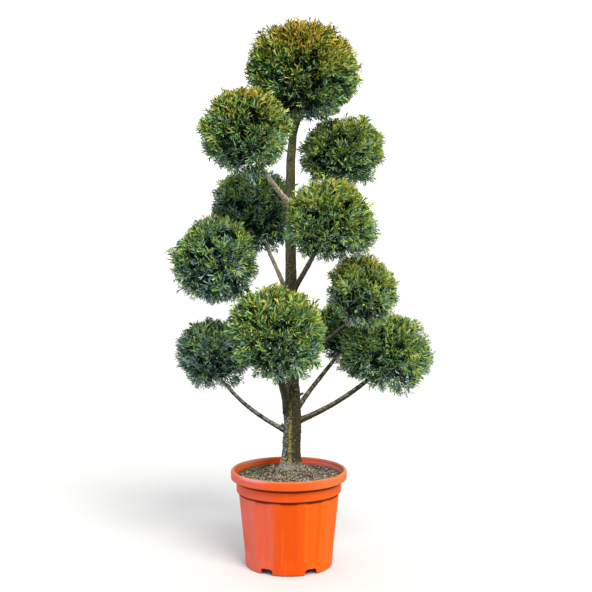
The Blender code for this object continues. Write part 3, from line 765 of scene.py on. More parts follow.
def bark_finish(name, pale, mid, algae, under, furrow=(0.011, 0.009, 0.007), along=None):
    """Cypress bark: dark furrows, paler plates, grey lichen on the left and algae on the right, painted
    shade beneath by a share, with rings across the limb by its named length along, or by height.
    Painted light and shade too: weathered faces turned up with a painted highlight, a band of
    painted light at the height where the balls shade the trunk, and painted shade on the right of
    the trunk's low part."""
    finish = Finish(name)
    ramp, grain = finish.ramp, finish.grain
    point = finish.place()
    x, _, z = finish.parts(point)
    normal_x, _, normal_z = finish.facing()
    long = grain(finish.vector("MULTIPLY", point, (105.0, 105.0, 30.0)), 1.0, 5.0, 0.65)
    reach = finish.add("ShaderNodeAttribute", out="Fac", attribute_name=along) if along else z
    rings = finish.join(reach * (125.0 if along else 190.0), 0.0, 0.0)
    rings = grain(finish.vector("MULTIPLY_ADD", point, (30.0, 30.0, 30.0), rings), 1.0, 3.0)
    flecks = grain(point, 210.0, 4.0, 0.75)
    patches = grain(point, 34.0, 4.0, 0.6)
    low = ramp(z, 0.60, 0.48)
    overgrown = ramp(z, 0.80, 0.95) + ramp(z, 0.47, 0.42)
    lichen = ramp(patches + overgrown * 0.12, 0.38, 0.54) * ramp(flecks, 0.46, 0.53)
    lichen = lichen * ramp(normal_x - ramp(x, -0.020, -0.070) * 0.6, 0.15, -0.60)
    green = ramp(grain(point, 19.0, 3.0), 0.42, 0.58)
    green = green * ramp(normal_x + normal_z, -0.1, 0.7) * ramp(flecks, 0.36, 0.60)
    olive = ramp(z, 0.56, 0.78) * ramp(flecks, 0.40, 0.56)
    # Paler bark on faces turned up: weathering with a painted highlight, in patches between the rings
    weathered_highlight = ramp(normal_z, 0.05, 0.55) * ramp(rings, 0.60, 0.48)
    weathered_highlight = weathered_highlight * ramp(patches + flecks + low * 0.16, 0.98, 1.10)
    # Painted light in a band at heights near 0.99 m, lightening bark that the balls shade
    painted_light_band = ramp(abs(z - 0.99), 0.13, 0.05) * ramp(flecks, 0.40, 0.54)
    # Painted shade on the right of the trunk's low part, where the front ball shades it
    shaded_side = low * ramp(x, 0.002, 0.014) * ramp(flecks, 0.74, 0.50)
    seam_x = SEAM_FOOT[0] + (z - SEAM_FOOT[1]) * SEAM_LEAN
    wobble = (grain(finish.join(0.0, 0.0, z), 42.0, 3.0) - 0.5) * 0.014
    seam = ramp(abs(x - seam_x + wobble), 0.0072, 0.0025) * ramp(z, SEAM_TOP, SEAM_TOP - 0.015)
    seam = seam * ramp(grain(point, 80.0, 4.0, 0.75), 0.38, 0.60)
    seam = seam * ramp(z, 0.306, 0.330) * ramp(abs(z - KNOT_HEIGHT), 0.003, 0.008)
    soil = ramp(z + (flecks - 0.5) * 0.03, 0.338, 0.318) * ramp(normal_x, -0.80, -0.30, 0.35, 1.0)
    clods = ramp(grain(point, 260.0, 5.0, 0.75), 0.40, 0.62)
    finish.set(Base_Color=finish.blend(
        furrow, (ramp(long, 0.42, 0.58), mid), (ramp(flecks, 0.50, 0.62) * 0.8, pale),
        (ramp(rings, 0.51, 0.58) * (under if along else 0.4), (0.016, 0.013, 0.010)),
        (lichen * 0.90, (0.230, 0.285, 0.290)), (green * algae, (0.135, 0.122, 0.018)),
        (olive * algae * 0.8, (0.130, 0.126, 0.040)), (weathered_highlight * 0.80, (0.420, 0.395, 0.330)),
        # Painted shade beneath, as strong as the share given
        (ramp(normal_z, 0.30, -0.25) * under, (0.013, 0.012, 0.006)),
        # The band of painted light, then the painted shade on the low trunk's right
        (painted_light_band * algae * 0.8, (0.210, 0.190, 0.110)), (shaded_side * 0.85, (0.026, 0.021, 0.010)),
        (seam * 0.80, (0.235, 0.205, 0.022)),
        (soil * 0.85, finish.blend((0.060, 0.048, 0.038), (clods, (0.33, 0.28, 0.22))))))
    finish.set(Roughness=0.86 + long * 0.1, Specular_IOR_Level=0.12)
    finish.relief(long * 0.7 + flecks * 0.3, 0.0016, 0.7)
    return finish.material


def trunk_rings():
    """Rings of points on the trunk, closer together towards its foot, from the top down."""
    turns = [2.0 * math.pi * side / TRUNK_SIDES for side in range(TRUNK_SIDES)]
    for share in (step / TRUNK_RINGS for step in range(TRUNK_RINGS, -1, -1)):
        height = trunk_low.z + (trunk_high.z - trunk_low.z) * share * (
            1.0 - RING_CROWDING + RING_CROWDING * share)
        yield [trunk_point(height, turn) for turn in turns]


def stub_path(height, side, length, radius):
    """The short end left where a side shoot was pruned: a little thicker at its foot, and rounded
    off at its cut."""
    angle = math.radians(side)
    out = Vector((math.cos(angle), math.sin(angle), 0.45)).normalized()
    start = trunk_point(height, angle, -0.004)
    shares = [step / STUB_STEPS for step in range(STUB_STEPS + 1)]
    radii = [radius * (1.35 - 0.35 * min(1.0, share * 2.5)) * min(1.0, ((1.02 - share) * 9) ** 0.5)
             for share in shares]
    return path_object("stub_path", [start + out * (length + 0.004) * share for share in shares], radii)


trunk_bark = bark_finish("trunk_bark", (0.190, 0.162, 0.078), (0.056, 0.047, 0.018), 0.65, 0.70)
bough_bark = bark_finish("bough_bark", (0.330, 0.275, 0.105), (0.125, 0.104, 0.030), 0.60, 0.92,
                         along="along")
# Bark painted paler for the upper left and mid left back boughs: pale bark, with painted light where the
# foliage shades them
lightened_bark = bark_finish("bough_bark_pale", (0.800, 0.710, 0.540), (0.580, 0.480, 0.320), 0.10, 0.20,
                        (0.200, 0.160, 0.100), "along")
trunk = trunk_shape().make("trunk_bark", lofted("trunk_loft", list(trunk_rings())), Bark=trunk_bark,
                           **TRUNK_BARK)
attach(trunk, "root")
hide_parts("trunk")
limb = limb_shape()
for count, sizes in enumerate(STUBS, 1):
    stub = limb.make("stub_%02d" % count, stub_path(*sizes), Bark=trunk_bark, **STUB_BARK)
    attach(stub, "root")

# BOUGHS
# Ten bare limbs, trained outwards and up from the trunk, each thickened where it leaves it and
# tapering to its ball. Their bark is thinner than the trunk's, with fine rings across it.

Bough = namedtuple("Bough", "height side leave arrive tip foot_radius tip_radius")
BOUGHS = {
    "upper_left": Bough(1.146, 0.000, 33, 40, (-0.068, -0.100, 1.239), 0.0092, 0.0078),
    "upper_right": Bough(1.045, 0.000, 42, 52, (0.140, 0.075, 1.212), 0.0092, 0.0075),
    "mid_left_back": Bough(0.850, -0.005, 49, 45, (-0.074, 0.130, 1.012), 0.0085, 0.0062),
    "mid_right_front": Bough(0.868, 0.003, 45, 48, (0.077, -0.106, 0.995), 0.0092, 0.0078),
    "left": Bough(0.690, 0.000, 50, 54, (-0.138, -0.009, 0.890), 0.0095, 0.0075),
    "right_upper": Bough(0.638, 0.000, 36, 38, (0.177, -0.075, 0.776), 0.0092, 0.0074),
    "front": Bough(0.480, -0.0142, 68, 42, (-0.030, -0.150, 0.637), 0.0136, 0.0118),
    "low_left": Bough(0.419, 0.000, 25, 47, (-0.193, 0.050, 0.559), 0.0088, 0.0062),
    "low_right": Bough(0.454, 0.000, 21, 39, (0.252, 0.020, 0.591), 0.0098, 0.0074),
    "right_back": Bough(0.478, 0.002, 40, 31, (0.153, 0.200, 0.634), 0.0092, 0.0070),
}
# Boughs that take another bark; the lightened one carries painted light for the foliage's shade on them
BOUGH_BARKS = {"upper_left": lightened_bark, "mid_left_back": lightened_bark, "mid_right_front": trunk_bark,
               "front": trunk_bark}
BOUGH_BARK = dict(STUB_BARK, Sides=40, Depth=0.0012, Furrow_width=0.0042, Stretch=2.2)
BOUGH_STEPS = 150
BOUGH_HANDLE = 0.36
BOUGH_COLLAR = 0.40
BOUGH_COLLAR_REACH = 0.12
BOUGH_START = (0.45, 14.0)
BOUGH_KNOTS = 0.10
BOUGH_KNOTS_PER_METRE = 34.0


def rising(out, degrees):
    """A direction that rises by an angle from a level one."""
    rise = math.radians(degrees)
    return out * math.cos(rise) + Vector((0.0, 0.0, math.sin(rise)))


def bough_path(name, steps, knots=0.0):
    """Points and radii along a bough, from the trunk's middle to its tip."""
    bough = BOUGHS[name]
    start = trunk_axis(bough.height) + Vector((bough.side, 0.0, 0.0))
    tip = Vector(bough.tip)
    out = Vector((tip.x - start.x, tip.y - start.y, 0.0)).normalized()
    handle = (tip - start).length * BOUGH_HANDLE
    hold_a = start + rising(out, bough.leave) * handle
    hold_b = tip - rising(out, bough.arrive) * handle
    points, radii = [], []
    for step in range(steps + 1):
        share = step / steps
        back = 1.0 - share
        point = start * back ** 3 + hold_a * 3 * back ** 2 * share
        point += hold_b * 3 * back * share ** 2 + tip * share ** 3
        radius = bough.foot_radius * back + bough.tip_radius * share
        radius *= 1.0 + BOUGH_COLLAR * math.exp(-share / BOUGH_COLLAR_REACH)
        radius *= min(1.0, BOUGH_START[0] + BOUGH_START[1] * share)
        radius *= 1.0 + knots * noise.noise(point * BOUGH_KNOTS_PER_METRE)
        points.append(point)
        radii.append(radius)
    return points, radii


for name in BOUGHS:
    path = path_object("bough_path", *bough_path(name, BOUGH_STEPS, BOUGH_KNOTS))
    bough = limb.make("bark_of_bough_" + name, path, Bark=BOUGH_BARKS.get(name, bough_bark), **BOUGH_BARK)
    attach(bough, "root")
    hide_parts("bough_" + name)

# TWIGS AND LEAVES
# Each limb ends in a ball, clipped every year: its stem parts into ten main twigs, these into
# finer ones, and every fine twig ends in a tuft of flat sprays of scale leaves. The sprays are
# amber and gold where the sun reaches them, green to the side, blue-green and dark below. Light
# and shade are painted into them too: darker and lighter tones of each hue are dealt out by how
# far a spray stands proud, which side it faces and where the balls shade one another.

# A ball's light raises or lowers the painted lightness of all its sprays
# Each lobe of a ball: its direction, and how far it stands out of the ball or lies in
Ball = namedtuple("Ball", "centre radii warmth rise light lobes")
BALLS = {
    "top": Ball((0.046, 0.010, 1.561), (0.176, 0.168, 0.160), 0.10, 2.00, -0.42,
                ((1.0, -0.2, -0.42, 0.11), (-0.9, -0.3, -0.5, 0.02), (0.0, 0.0, 1.0, -0.04),
                 (1.0, -0.2, 0.15, -0.07), (0.72, -0.2, -0.75, -0.08), (-0.9, -0.3, 0.45, 0.05))),
    "upper_left": Ball((-0.130, -0.140, 1.368), (0.135, 0.132, 0.129), -0.40, 1.35, -0.18,
                       ((0.1, -0.3, -1.0, 0.15), (-0.5, 0.0, 0.9, -0.02))),
    "upper_right": Ball((0.173, 0.090, 1.315), (0.137, 0.124, 0.110), -0.60, 1.00, 0.20,
                        ((0.8, -0.2, 0.6, 0.08), (-0.8, 0.1, -0.55, 0.08), (0.95, -0.2, -0.35, -0.11))),
    "mid_left_back": Ball((-0.115, 0.165, 1.129), (0.137, 0.135, 0.134), -1.45, 0.80, 0.05,
                          ((-0.9, 0.0, 0.3, 0.04), (0.55, -0.1, -0.8, 0.18))),
    "mid_right_front": Ball((0.129, -0.140, 1.101), (0.143, 0.134, 0.125), -0.45, 1.20, 0.28,
                            ((0.95, -0.2, -0.45, 0.12), (-0.75, -0.3, -0.65, 0.05),
                             (-1.0, -0.2, 0.15, -0.08), (0.92, -0.2, 0.38, -0.30))),
    "left": Ball((-0.234, -0.035, 0.976), (0.134, 0.134, 0.135), -1.35, 0.80, 0.00,
                 ((-0.75, -0.2, 0.6, -0.19), (-0.3, -0.2, -0.95, 0.02), (-0.1, 0.0, 1.0, 0.04),
                  (0.85, -0.1, -0.55, 0.06))),
    "right_upper": Ball((0.227, -0.085, 0.886), (0.112, 0.111, 0.109), -0.65, 1.10, 0.58,
                        ((0.65, -0.2, 0.7, -0.19), (0.3, -0.3, -0.95, 0.12), (-1.0, -0.2, 0.3, -0.03))),
    "front": Ball((-0.037, -0.190, 0.767), (0.146, 0.142, 0.137), -0.72, 0.95, 0.00,
                  ((0.44, -0.22, -0.9, 0.18), (-0.35, -0.3, -0.9, -0.05), (-0.55, -0.2, 0.82, 0.06),
                   (0.65, -0.2, 0.75, -0.06))),
    "low_left": Ball((-0.251, 0.070, 0.667), (0.116, 0.113, 0.109), -1.75, 0.60, 0.18,
                     ((-0.1, -0.2, 1.0, 0.11), (0.6, -0.2, -0.8, 0.18), (-0.9, -0.2, -0.4, -0.06))),
    "low_right": Ball((0.302, 0.020, 0.687), (0.144, 0.130, 0.114), -0.90, 0.80, 0.10,
                      ((0.88, -0.2, -0.50, 0.15), (0.42, -0.2, -0.90, 0.38), (-0.6, -0.2, -0.6, 0.05))),
    "right_back": Ball((0.196, 0.250, 0.728), (0.110, 0.110, 0.111), -1.10, 0.80, -0.55,
                       ((0.2, -0.2, -0.9, 0.05),)),
}
BALLS = {name: ball._replace(centre=np.array(ball.centre), radii=np.array(ball.radii))
         for name, ball in BALLS.items()}
LOBE_WIDTH = 0.11
LUMPS = 0.08
LUMP_PITCH = 2.6
STEM_FIT = 0.0003
STEM_WIDTH = 0.98
STEM_LENGTH = 0.5
TWIGS = 10
TWIG_REACH = 0.76
TWIG_RADIUS = 0.0030
FINE_TWIG_AREA = 0.00090
FINE_TWIG_RADIUS = 0.0015
FINE_TWIG_SCATTER = 0.055
FINE_TWIG_ROOTS = (0.30, 0.95)
FINE_TWIG_REACH = (0.78, 0.90)
HANGING_TWIGS = 9
HANGING_TWIG_RADIUS = 0.0009
HANG_SPREAD = 0.55
HANG_UP = np.array((0.0, 0.0, 0.9))
HANG_ROOTS = (0.80, 0.92)
HANG_RUNS = (0.008, 0.016)
HANG_CURVE = 0.75
SPRAYS_PER_TWIG = 12
SPRAY_ROOTS = (0.45, 1.0)
SPRAY_SIZES = (0.0168, 0.050)
TWIG_PULL = 0.50
OUTWARD_PULL = 0.65
SPRAY_RISE = (0.0, 0.0, 0.38)
SPRAY_SCATTER = 0.45
LEAN_LOSS = 0.20
INNER_SPRAYS = 2200.0
INNER_SIZES = (0.02, 0.095)
INNER_ROOTS = (0.30, 0.55)
INNER_REACH = 0.84
INNER_SCATTER = 0.8
INNER_LEVELS = (-2.2, 0.3)

# A spray's level of lightness away from the light, and what its place adds to it and to its
# warmth. The level picks a darker or lighter tone, so this is painted light and shade.
EVEN_LEVEL = 1.95
PROUD_FROM = 0.93
PROUD_SLOPE = 10.0
PROUD_RANGE = (-1.3, 0.9)
PROUD_CAP = 0.3
PROUD_LEVEL = 1.15
PROUD_WARMTH = 0.40
RIGHT_WARMTH = 0.25
LIGHT_WARMTH = 0.30

# Chance from tuft to tuft, then from spray to spray: in reach (about a middle), in lightness and
# in warmth
REACH_CHANCE = (0.052, 0.020, -0.004)
LEVEL_CHANCE = (0.25, 0.60)
WARMTH_CHANCE = (0.20, 0.85)

# A share of the tufts leads the rest, and a share of the sprays strays out of its tuft
LEADERS = 0.09
LEADER_REACH = (0.17, 0.06)
STRAYS = 0.13
STRAY_REACH = (0.03, 0.13)

# Sprigs: the number of side strands and their lean off the rib in degrees
SPRIGS = ((3, 30), (4, 40), (4, 34), (3, 36), (4, 44), (5, 36))
STRAND_WIDTH = 0.037
BARB = 0.050
RANK_WARMTH = 0.40
RANK_CHANCE = 2.3
LEAF_SHARE = 0.03
LEAF_MARGIN = 0.006
COARSE_STEPS = 9
TRUNK_STRETCH = 0.03
TRUNK_STRETCHES = 38
LIMB_CLEARANCE = 0.004
NEIGHBOUR_CLEARANCE = 0.002
# Sprays on this side of a ball are painted lighter, and on the far side darker, as if lit from the right
LIGHT_SIDE = np.array((0.40, -0.20, 0.02))
GOLDEN_ANGLE = math.pi * (3.0 - math.sqrt(5.0))

# Painted shade where neighbours shade a ball or it shades itself, or, with a minus, painted light
# where more sun gets in: the middle, the width and how much
SHADED = (((-0.045, 0.060, 1.095), 0.085, 1.3), ((0.110, -0.020, 0.840), 0.070, 0.8),
          ((-0.105, -0.050, 1.530), 0.080, 0.5), ((-0.037, -0.250, 0.650), 0.070, 0.5),
          ((0.130, -0.130, 1.560), 0.090, -0.5), ((0.030, -0.120, 1.430), 0.060, 0.4))

# A warmth or level that every blade passes
ANY = -99.0

# Leaf colours: the warmth at which a hue sets in, then its dark, middle, light and pale tones. The
# tones are shaded and lit copies of the hue: they paint light and shade as well as the leaves' own
# changes of tone.
LEAF_SHADE = (0.0085, 0.0105, 0.0110)
LEAF_HUES = {
    "teal": (-9.0, (0.012, 0.035, 0.033), (0.029, 0.096, 0.082), (0.084, 0.193, 0.160),
             (0.262, 0.365, 0.335)),
    "green": (-0.90, (0.012, 0.038, 0.018), (0.035, 0.113, 0.047), (0.098, 0.230, 0.082),
              (0.250, 0.395, 0.130)),
    "lime": (0.30, (0.017, 0.048, 0.009), (0.054, 0.132, 0.020), (0.142, 0.262, 0.034),
             (0.330, 0.445, 0.070)),
    "gold": (1.50, (0.040, 0.046, 0.011), (0.116, 0.120, 0.020), (0.275, 0.248, 0.032),
             (0.500, 0.425, 0.080)),
    "amber": (3.00, (0.055, 0.038, 0.008), (0.175, 0.103, 0.009), (0.380, 0.215, 0.013),
              (0.590, 0.330, 0.028)),
}
TWIG_WOOD = {"twig_dark": (0.024, 0.018, 0.013), "twig_brown": (0.085, 0.060, 0.038),
             "twig_grey": (0.200, 0.175, 0.140)}


def spread(count, turn):
    """Directions spread evenly over a sphere."""
    steps = np.arange(count)
    up = 1.0 - (2 * steps + 1) / count
    flat = np.sqrt(1.0 - up * up)
    return np.stack([flat * np.cos(GOLDEN_ANGLE * steps + turn),
                     flat * np.sin(GOLDEN_ANGLE * steps + turn), up], axis=1)


def lengths(vectors):
    """The length of each row."""
    return np.linalg.norm(vectors, axis=1)


def unit(vectors):
    """Rows of vectors brought to length 1."""
    return vectors / lengths(vectors)[:, None]


def limb_segments():
    """Start, run, and radius of every stretch of every limb, for the clearance test."""
    paths = [bough_path(name, COARSE_STEPS) for name in BOUGHS]
    heights = [trunk_low.z + TRUNK_STRETCH * step for step in range(TRUNK_STRETCHES)]
    paths.append(([trunk_axis(height) for height in heights],
                  [trunk_station(height).half_width for height in heights]))
    return np.array([(*here, *(there - here), radius) for points, radii in paths
                     for here, there, radius in zip(points, points[1:], radii)])


def is_free(points, name):
    """True for each point that reaches neither a limb nor a neighbouring ball's space."""
    free = np.ones(len(points), bool)
    for row in LIMBS:
        off = points - row[:3]
        share = np.clip(off @ row[3:6] / (row[3:6] @ row[3:6]), 0.0, 1.0)
        free &= lengths(off - share[:, None] * row[3:6]) - row[6] > LIMB_CLEARANCE
    for other, ball in BALLS.items():
        if other != name:
            depth = lengths((points - ball.centre) / ball.radii)
            free &= depth > 1.0 + NEIGHBOUR_CLEARANCE / min(ball.radii)
    return free


def within_reach(points):
    """True for each point inside the solids' box, widened by what leaves may stand proud."""
    low, high = np.array(solid_low), np.array(solid_high)
    margin = LEAF_SHARE * (high - low) + LEAF_MARGIN
    return ((points > low - margin) & (points < high + margin)).all(1)


def stem_of(name):
    """Foot, direction and radius of the stem that carries on a bough's or the trunk's tip."""
    if name == "top":
        return trunk_axis(TRUNK[-1].height), Vector((0.0, 0.0, 1.0)), TRUNK[-1].half_width * STEM_WIDTH
    points, radii = bough_path(name, COARSE_STEPS)
    return points[-1], (points[-1] - points[-2]).normalized(), radii[-1] * STEM_WIDTH


def main_twigs(name):
    """The stem and the ten main twigs, drawn by the same seeded rule as the solid's."""
    ball = BALLS[name]
    rng = random.Random("cypress " + name)
    tip, along, radius = stem_of(name)
    foot = tip + along * STEM_FIT
    heart = foot + along * (Vector(ball.centre) - foot).length * STEM_LENGTH
    starts, ends = [], []
    directions = spread(TWIGS, rng.uniform(0.0, 6.28))
    for direction in directions:
        share = 0.8 + 0.1 * (1.0 + Vector(direction).dot(along))
        starts.append(foot.lerp(heart, share))
        reach = TWIG_REACH * rng.uniform(0.95, 1.0)
        ends.append(ball.centre + direction * ball.radii * reach)
    return (foot, heart, radius), np.array(starts), np.array(ends), directions


def envelope(ball, aims):
    """How far the clipped surface stands from even in each direction, about 1."""
    reach = np.array([1.0 + LUMPS * noise.noise(Vector(aim) * LUMP_PITCH + Vector(ball.centre) * 7.0)
                      for aim in aims])
    for *lobe, amount in ball.lobes:
        toward = unit(np.array([lobe]))[0]
        reach += amount * np.exp((aims @ toward - 1.0) / LOBE_WIDTH)
    return reach


def fine_twigs(name, starts, ends, directions, picks):
    """Finer twigs: each leaves the main twig nearest to it and ends under the surface."""
    ball = BALLS[name]
    count = round(4.0 * math.pi * (ball.radii.mean() ** 2) / FINE_TWIG_AREA)
    aims = unit(spread(count, picks.uniform(0, 6.28)) + picks.normal(0.0, FINE_TWIG_SCATTER, (count, 3)))
    nearest = np.argmax(aims @ directions.T, axis=1)
    share = picks.uniform(*FINE_TWIG_ROOTS, count)[:, None]
    roots = starts[nearest] * (1 - share) + ends[nearest] * share
    below = np.maximum(-aims[:, 2] - 0.2, 0.0)
    reach = envelope(ball, aims) * (picks.uniform(*FINE_TWIG_REACH, count) + 0.10 * below)
    tips = ball.centre + aims * ball.radii * reach[:, None]
    keep = is_free(tips, name)
    return roots[keep], tips[keep], aims[keep]


def hanging_twigs(name, picks):
    """Bare twigs that hang below a ball: each three short stretches that curve back up."""
    ball = BALLS[name]
    aims = unit(picks.normal(0.0, (HANG_SPREAD, HANG_SPREAD, 0.0), (HANGING_TWIGS, 3)) - HANG_UP)
    places = ball.centre + aims * ball.radii * picks.uniform(*HANG_ROOTS, HANGING_TWIGS)[:, None]
    heading = unit(aims + picks.normal(0.0, HANG_SPREAD, aims.shape))
    turn = unit(picks.normal(0.0, 1.0, aims.shape) + HANG_UP)
    starts, runs = [], []
    for step in range(3):
        run = heading * picks.uniform(*HANG_RUNS, len(places))[:, None]
        keep = is_free(places + run, name) & within_reach(places + run)
        starts.append(places[keep])
        runs.append(run[keep])
        places, turn, heading = (places + run)[keep], turn[keep], unit(heading + turn * HANG_CURVE)[keep]
    return np.concatenate(starts), np.concatenate(runs)


def reach_out(ball, roots, aims, limit):
    """Distance from each root along its aim to the ball's outline times a limit."""
    from_middle, pace = (roots - ball.centre) / ball.radii, aims / ball.radii
    a = (pace ** 2).sum(1)
    b = (from_middle * pace).sum(1)
    c = (from_middle ** 2).sum(1) - limit ** 2
    return (-b + np.sqrt(np.maximum(b * b - a * c, 0.0))) / a


def outer_sprays(name, roots, tips, aims, picks):
    """The tuft of sprays on each fine twig, its tips on a low dome in the ball's outline."""
    ball = BALLS[name]
    tufts = len(tips)
    twig = np.repeat(np.arange(tufts), SPRAYS_PER_TWIG)
    count = len(twig)

    def chance(by_tuft, by_spray, middle=0.0):
        """A number for each spray that is drawn in part with its tuft and in part alone."""
        return picks.normal(middle, by_tuft, tufts)[twig] + picks.normal(0.0, by_spray, count)

    share = picks.uniform(*SPRAY_ROOTS, count)[:, None]
    places = roots[twig] * (1 - share) + tips[twig] * share
    lean = TWIG_PULL * unit(tips - roots)[twig] + OUTWARD_PULL * aims[twig] + SPRAY_RISE
    lean = unit(lean + picks.normal(0.0, SPRAY_SCATTER, (count, 3)))
    even = envelope(ball, aims)[twig]
    limit = even * (1.0 - LEAN_LOSS * np.maximum(1.0 - (lean * aims[twig]).sum(1), 0.0))
    limit += np.interp(picks.random(tufts), (0.0, LEADERS), LEADER_REACH, right=0.0)[twig]
    limit += chance(*REACH_CHANCE)
    stray = picks.random(count) < STRAYS
    limit[stray] += picks.uniform(*STRAY_REACH, stray.sum())
    size = np.minimum(reach_out(ball, places, lean, limit), SPRAY_SIZES[1])
    middle = places + lean * size[:, None] * 0.6
    ends = places + lean * size[:, None]
    keep = (size > SPRAY_SIZES[0]) & is_free(ends, name) & is_free(middle, name) & within_reach(ends)
    off = (ends - ball.centre) / ball.radii
    sides = unit(off)
    proud = np.clip((lengths(off) / even - PROUD_FROM) * PROUD_SLOPE, *PROUD_RANGE)
    change = chance(*LEVEL_CHANCE)
    level = EVEN_LEVEL + ball.light + sides @ LIGHT_SIDE
    level += PROUD_LEVEL * np.minimum(proud, PROUD_CAP) + change
    for place, width, amount in SHADED:
        level -= amount * np.exp(-((ends - place) ** 2).sum(1) / width ** 2)
    warm = ball.warmth + ball.rise * sides[:, 2] + RIGHT_WARMTH * sides[:, 0] + PROUD_WARMTH * proud
    warm += chance(*WARMTH_CHANCE) + LIGHT_WARMTH * change
    return [part[keep] for part in (places, lean, size, level, warm)]


def inner_sprays(name, picks):
    """Large sprays deep inside, which close the ball's middle, in mostly near-black tones of painted
    shade.
    """
    ball = BALLS[name]
    count = round(INNER_SPRAYS * 4.0 * math.pi * ball.radii.mean() ** 2)
    aims = unit(spread(count, 1.0) + picks.normal(0.0, 0.10, (count, 3)))
    places = ball.centre + aims * ball.radii * picks.uniform(*INNER_ROOTS, count)[:, None]
    lean = unit(aims + picks.normal(0.0, INNER_SCATTER, (count, 3)))
    size = np.minimum(reach_out(ball, places, lean, INNER_REACH), INNER_SIZES[1])
    keep = (size > INNER_SIZES[0]) & is_free(places + lean * size[:, None], name)
    keep &= is_free(places, name)
    level = picks.uniform(*INNER_LEVELS, count)
    return [part[keep] for part in (places, lean, size, level, np.full(count, ball.warmth))]


def sprig(name, seed, sides, lean_degrees):
    """A flat spray of scale leaves, one unit long up +Z: a rib with side strands. Each strand is a
    narrow strip with barbs, and its rank says how much lighter it is than its spray."""
    picks = random.Random(seed)
    places, corners, ranks = [], [], []

    def strand(foot, tip, barbs, rank):
        """One pointed strip, arched along its length, with forward barbs on both sides."""
        along = tip - foot
        side = along.cross(Vector((0.0, 1.0, 0.0))).normalized()
        arch = Vector((0.0, picks.uniform(-1.0, 1.0) * STRAND_WIDTH, 0.0))
        waist = foot + along * 0.7 + arch
        start = len(places)
        places.extend([foot - side * STRAND_WIDTH * 0.6, foot + side * STRAND_WIDTH * 0.6,
                       waist + side * STRAND_WIDTH, waist - side * STRAND_WIDTH, tip])
        corners.extend([(start, start + 1, start + 2, start + 3), (start + 3, start + 2, start + 4)])
        for step in range(barbs):
            share = (step + 0.8) / (barbs + 0.6)
            out = side if step % 2 else -side
            low = foot + along * share + arch * min(share / 0.7, 1.0)
            high = low + along.normalized() * BARB * 0.8
            apex = high + out * BARB * picks.uniform(0.8, 1.2)
            at = len(places)
            places.extend([low, high, apex])
            corners.append((at, at + 2, at + 1) if step % 2 else (at, at + 1, at + 2))
        ranks.extend([rank + picks.uniform(-RANK_CHANCE, RANK_CHANCE)] * (len(places) - start))

    bend = picks.uniform(-0.10, 0.10)

    def rib(share):
        """A point on the bent rib."""
        return Vector((bend * share * share, 0.05 * share * share, share))

    strand(rib(0.0), rib(0.45) * 1.1, 0, -1.6)
    strand(rib(0.45), rib(1.0), 4, 0.7)
    for step in range(sides):
        share = 0.14 + 0.56 * step / (sides - 1)
        angle = math.radians(lean_degrees + picks.uniform(-8, 8)) * (1.0 if step % 2 else -1.0)
        out = Vector((math.sin(angle), picks.uniform(-0.25, 0.25), math.cos(angle)))
        tip = rib(share) + out * (0.54 - 0.26 * share) * picks.uniform(0.85, 1.15)
        strand(rib(share), tip, 2, 2.1 * share - 1.1)
    mesh = bpy.data.meshes.new(name)
    mesh.from_pydata(places, [], corners)
    mesh.attributes.new("rank", "FLOAT", "POINT").data.foreach_set("value", ranks)
    return new_object(name, mesh)


def stick(name, sides, taper):
    """A closed tapering stick, one unit long up +Z and one unit in radius at its foot."""
    form = bmesh.new()
    bmesh.ops.create_cone(form, cap_ends=True, segments=sides, radius1=1.0, radius2=taper, depth=1.0)
    bmesh.ops.translate(form, verts=form.verts, vec=(0.0, 0.0, 0.5))
    return from_form(name, form)


def growth_shape(name, tones):
    """Sets a copy on each point, turned to its aim and sized. Each tone is a name, a colour, and
    the warmth and the level from which a blade takes it."""
    shape = Shape(name, Copies="Collection")

    def stored(key, kind="FLOAT"):
        """The wire of a named attribute."""
        return shape.add("GeometryNodeInputNamedAttribute", {"Name": key}, data_type=kind)

    upright = shape.add("FunctionNodeAlignRotationToVector",
                        {"Vector": stored("aim", "FLOAT_VECTOR")}, axis="Z")
    roll = shape.add("FunctionNodeAxisAngleToRotation",
                     {"Axis": (0.0, 0.0, 1.0), "Angle": stored("roll")})
    turn = shape.add("FunctionNodeRotateRotation", {"Rotation": upright, "Rotate By": roll},
                     rotation_space="LOCAL")
    kinds = shape.add("GeometryNodeCollectionInfo", {
        "Collection": shape.given.Copies, "Separate Children": True, "Reset Children": True})
    copies = shape.add("GeometryNodeInstanceOnPoints", {
        "Points": shape.given.Geometry, "Instance": kinds, "Pick Instance": True,
        "Rotation": turn, "Scale": stored("size", "FLOAT_VECTOR")})
    grown = shape.add("GeometryNodeRealizeInstances", {0: copies})
    level = stored("level") + stored("rank")
    warmth = stored("warmth") + stored("rank") * RANK_WARMTH
    for tone, colour, least_warmth, least_level in tones:
        finish = Finish(tone)
        finish.set(Base_Color=colour, Roughness=0.7, Specular_IOR_Level=0.05)
        grown = shape.add("GeometryNodeSetMaterial", {
            "Geometry": grown, "Material": finish.material,
            "Selection": (warmth > least_warmth) * (level > least_level)})
    for key in ("level", "warmth", "rank", "aim", "roll", "size"):
        grown = shape.add("GeometryNodeRemoveAttribute", {"Geometry": grown, "Name": key})
    shape.feed(shape.exit.inputs[0], grown)
    return shape


def grown_from(picks, places, aims, sizes, levels, warmths):
    """Points that carry the aim, roll, size, level and warmth of what will grow on them."""
    mesh = bpy.data.meshes.new("growing_points")
    mesh.vertices.add(len(places))
    mesh.vertices.foreach_set("co", np.asarray(places, np.float32).ravel())
    rolls = picks.uniform(0.0, 2.0 * math.pi, len(places))
    for key, values in dict(aim=aims, size=sizes, roll=rolls, level=levels, warmth=warmths).items():
        kind, field = ("FLOAT", "value") if values.ndim == 1 else ("FLOAT_VECTOR", "vector")
        data = mesh.attributes.new(key, kind, "POINT").data
        data.foreach_set(field, np.asarray(values, np.float32).ravel())
    return new_object("growing_points", mesh)


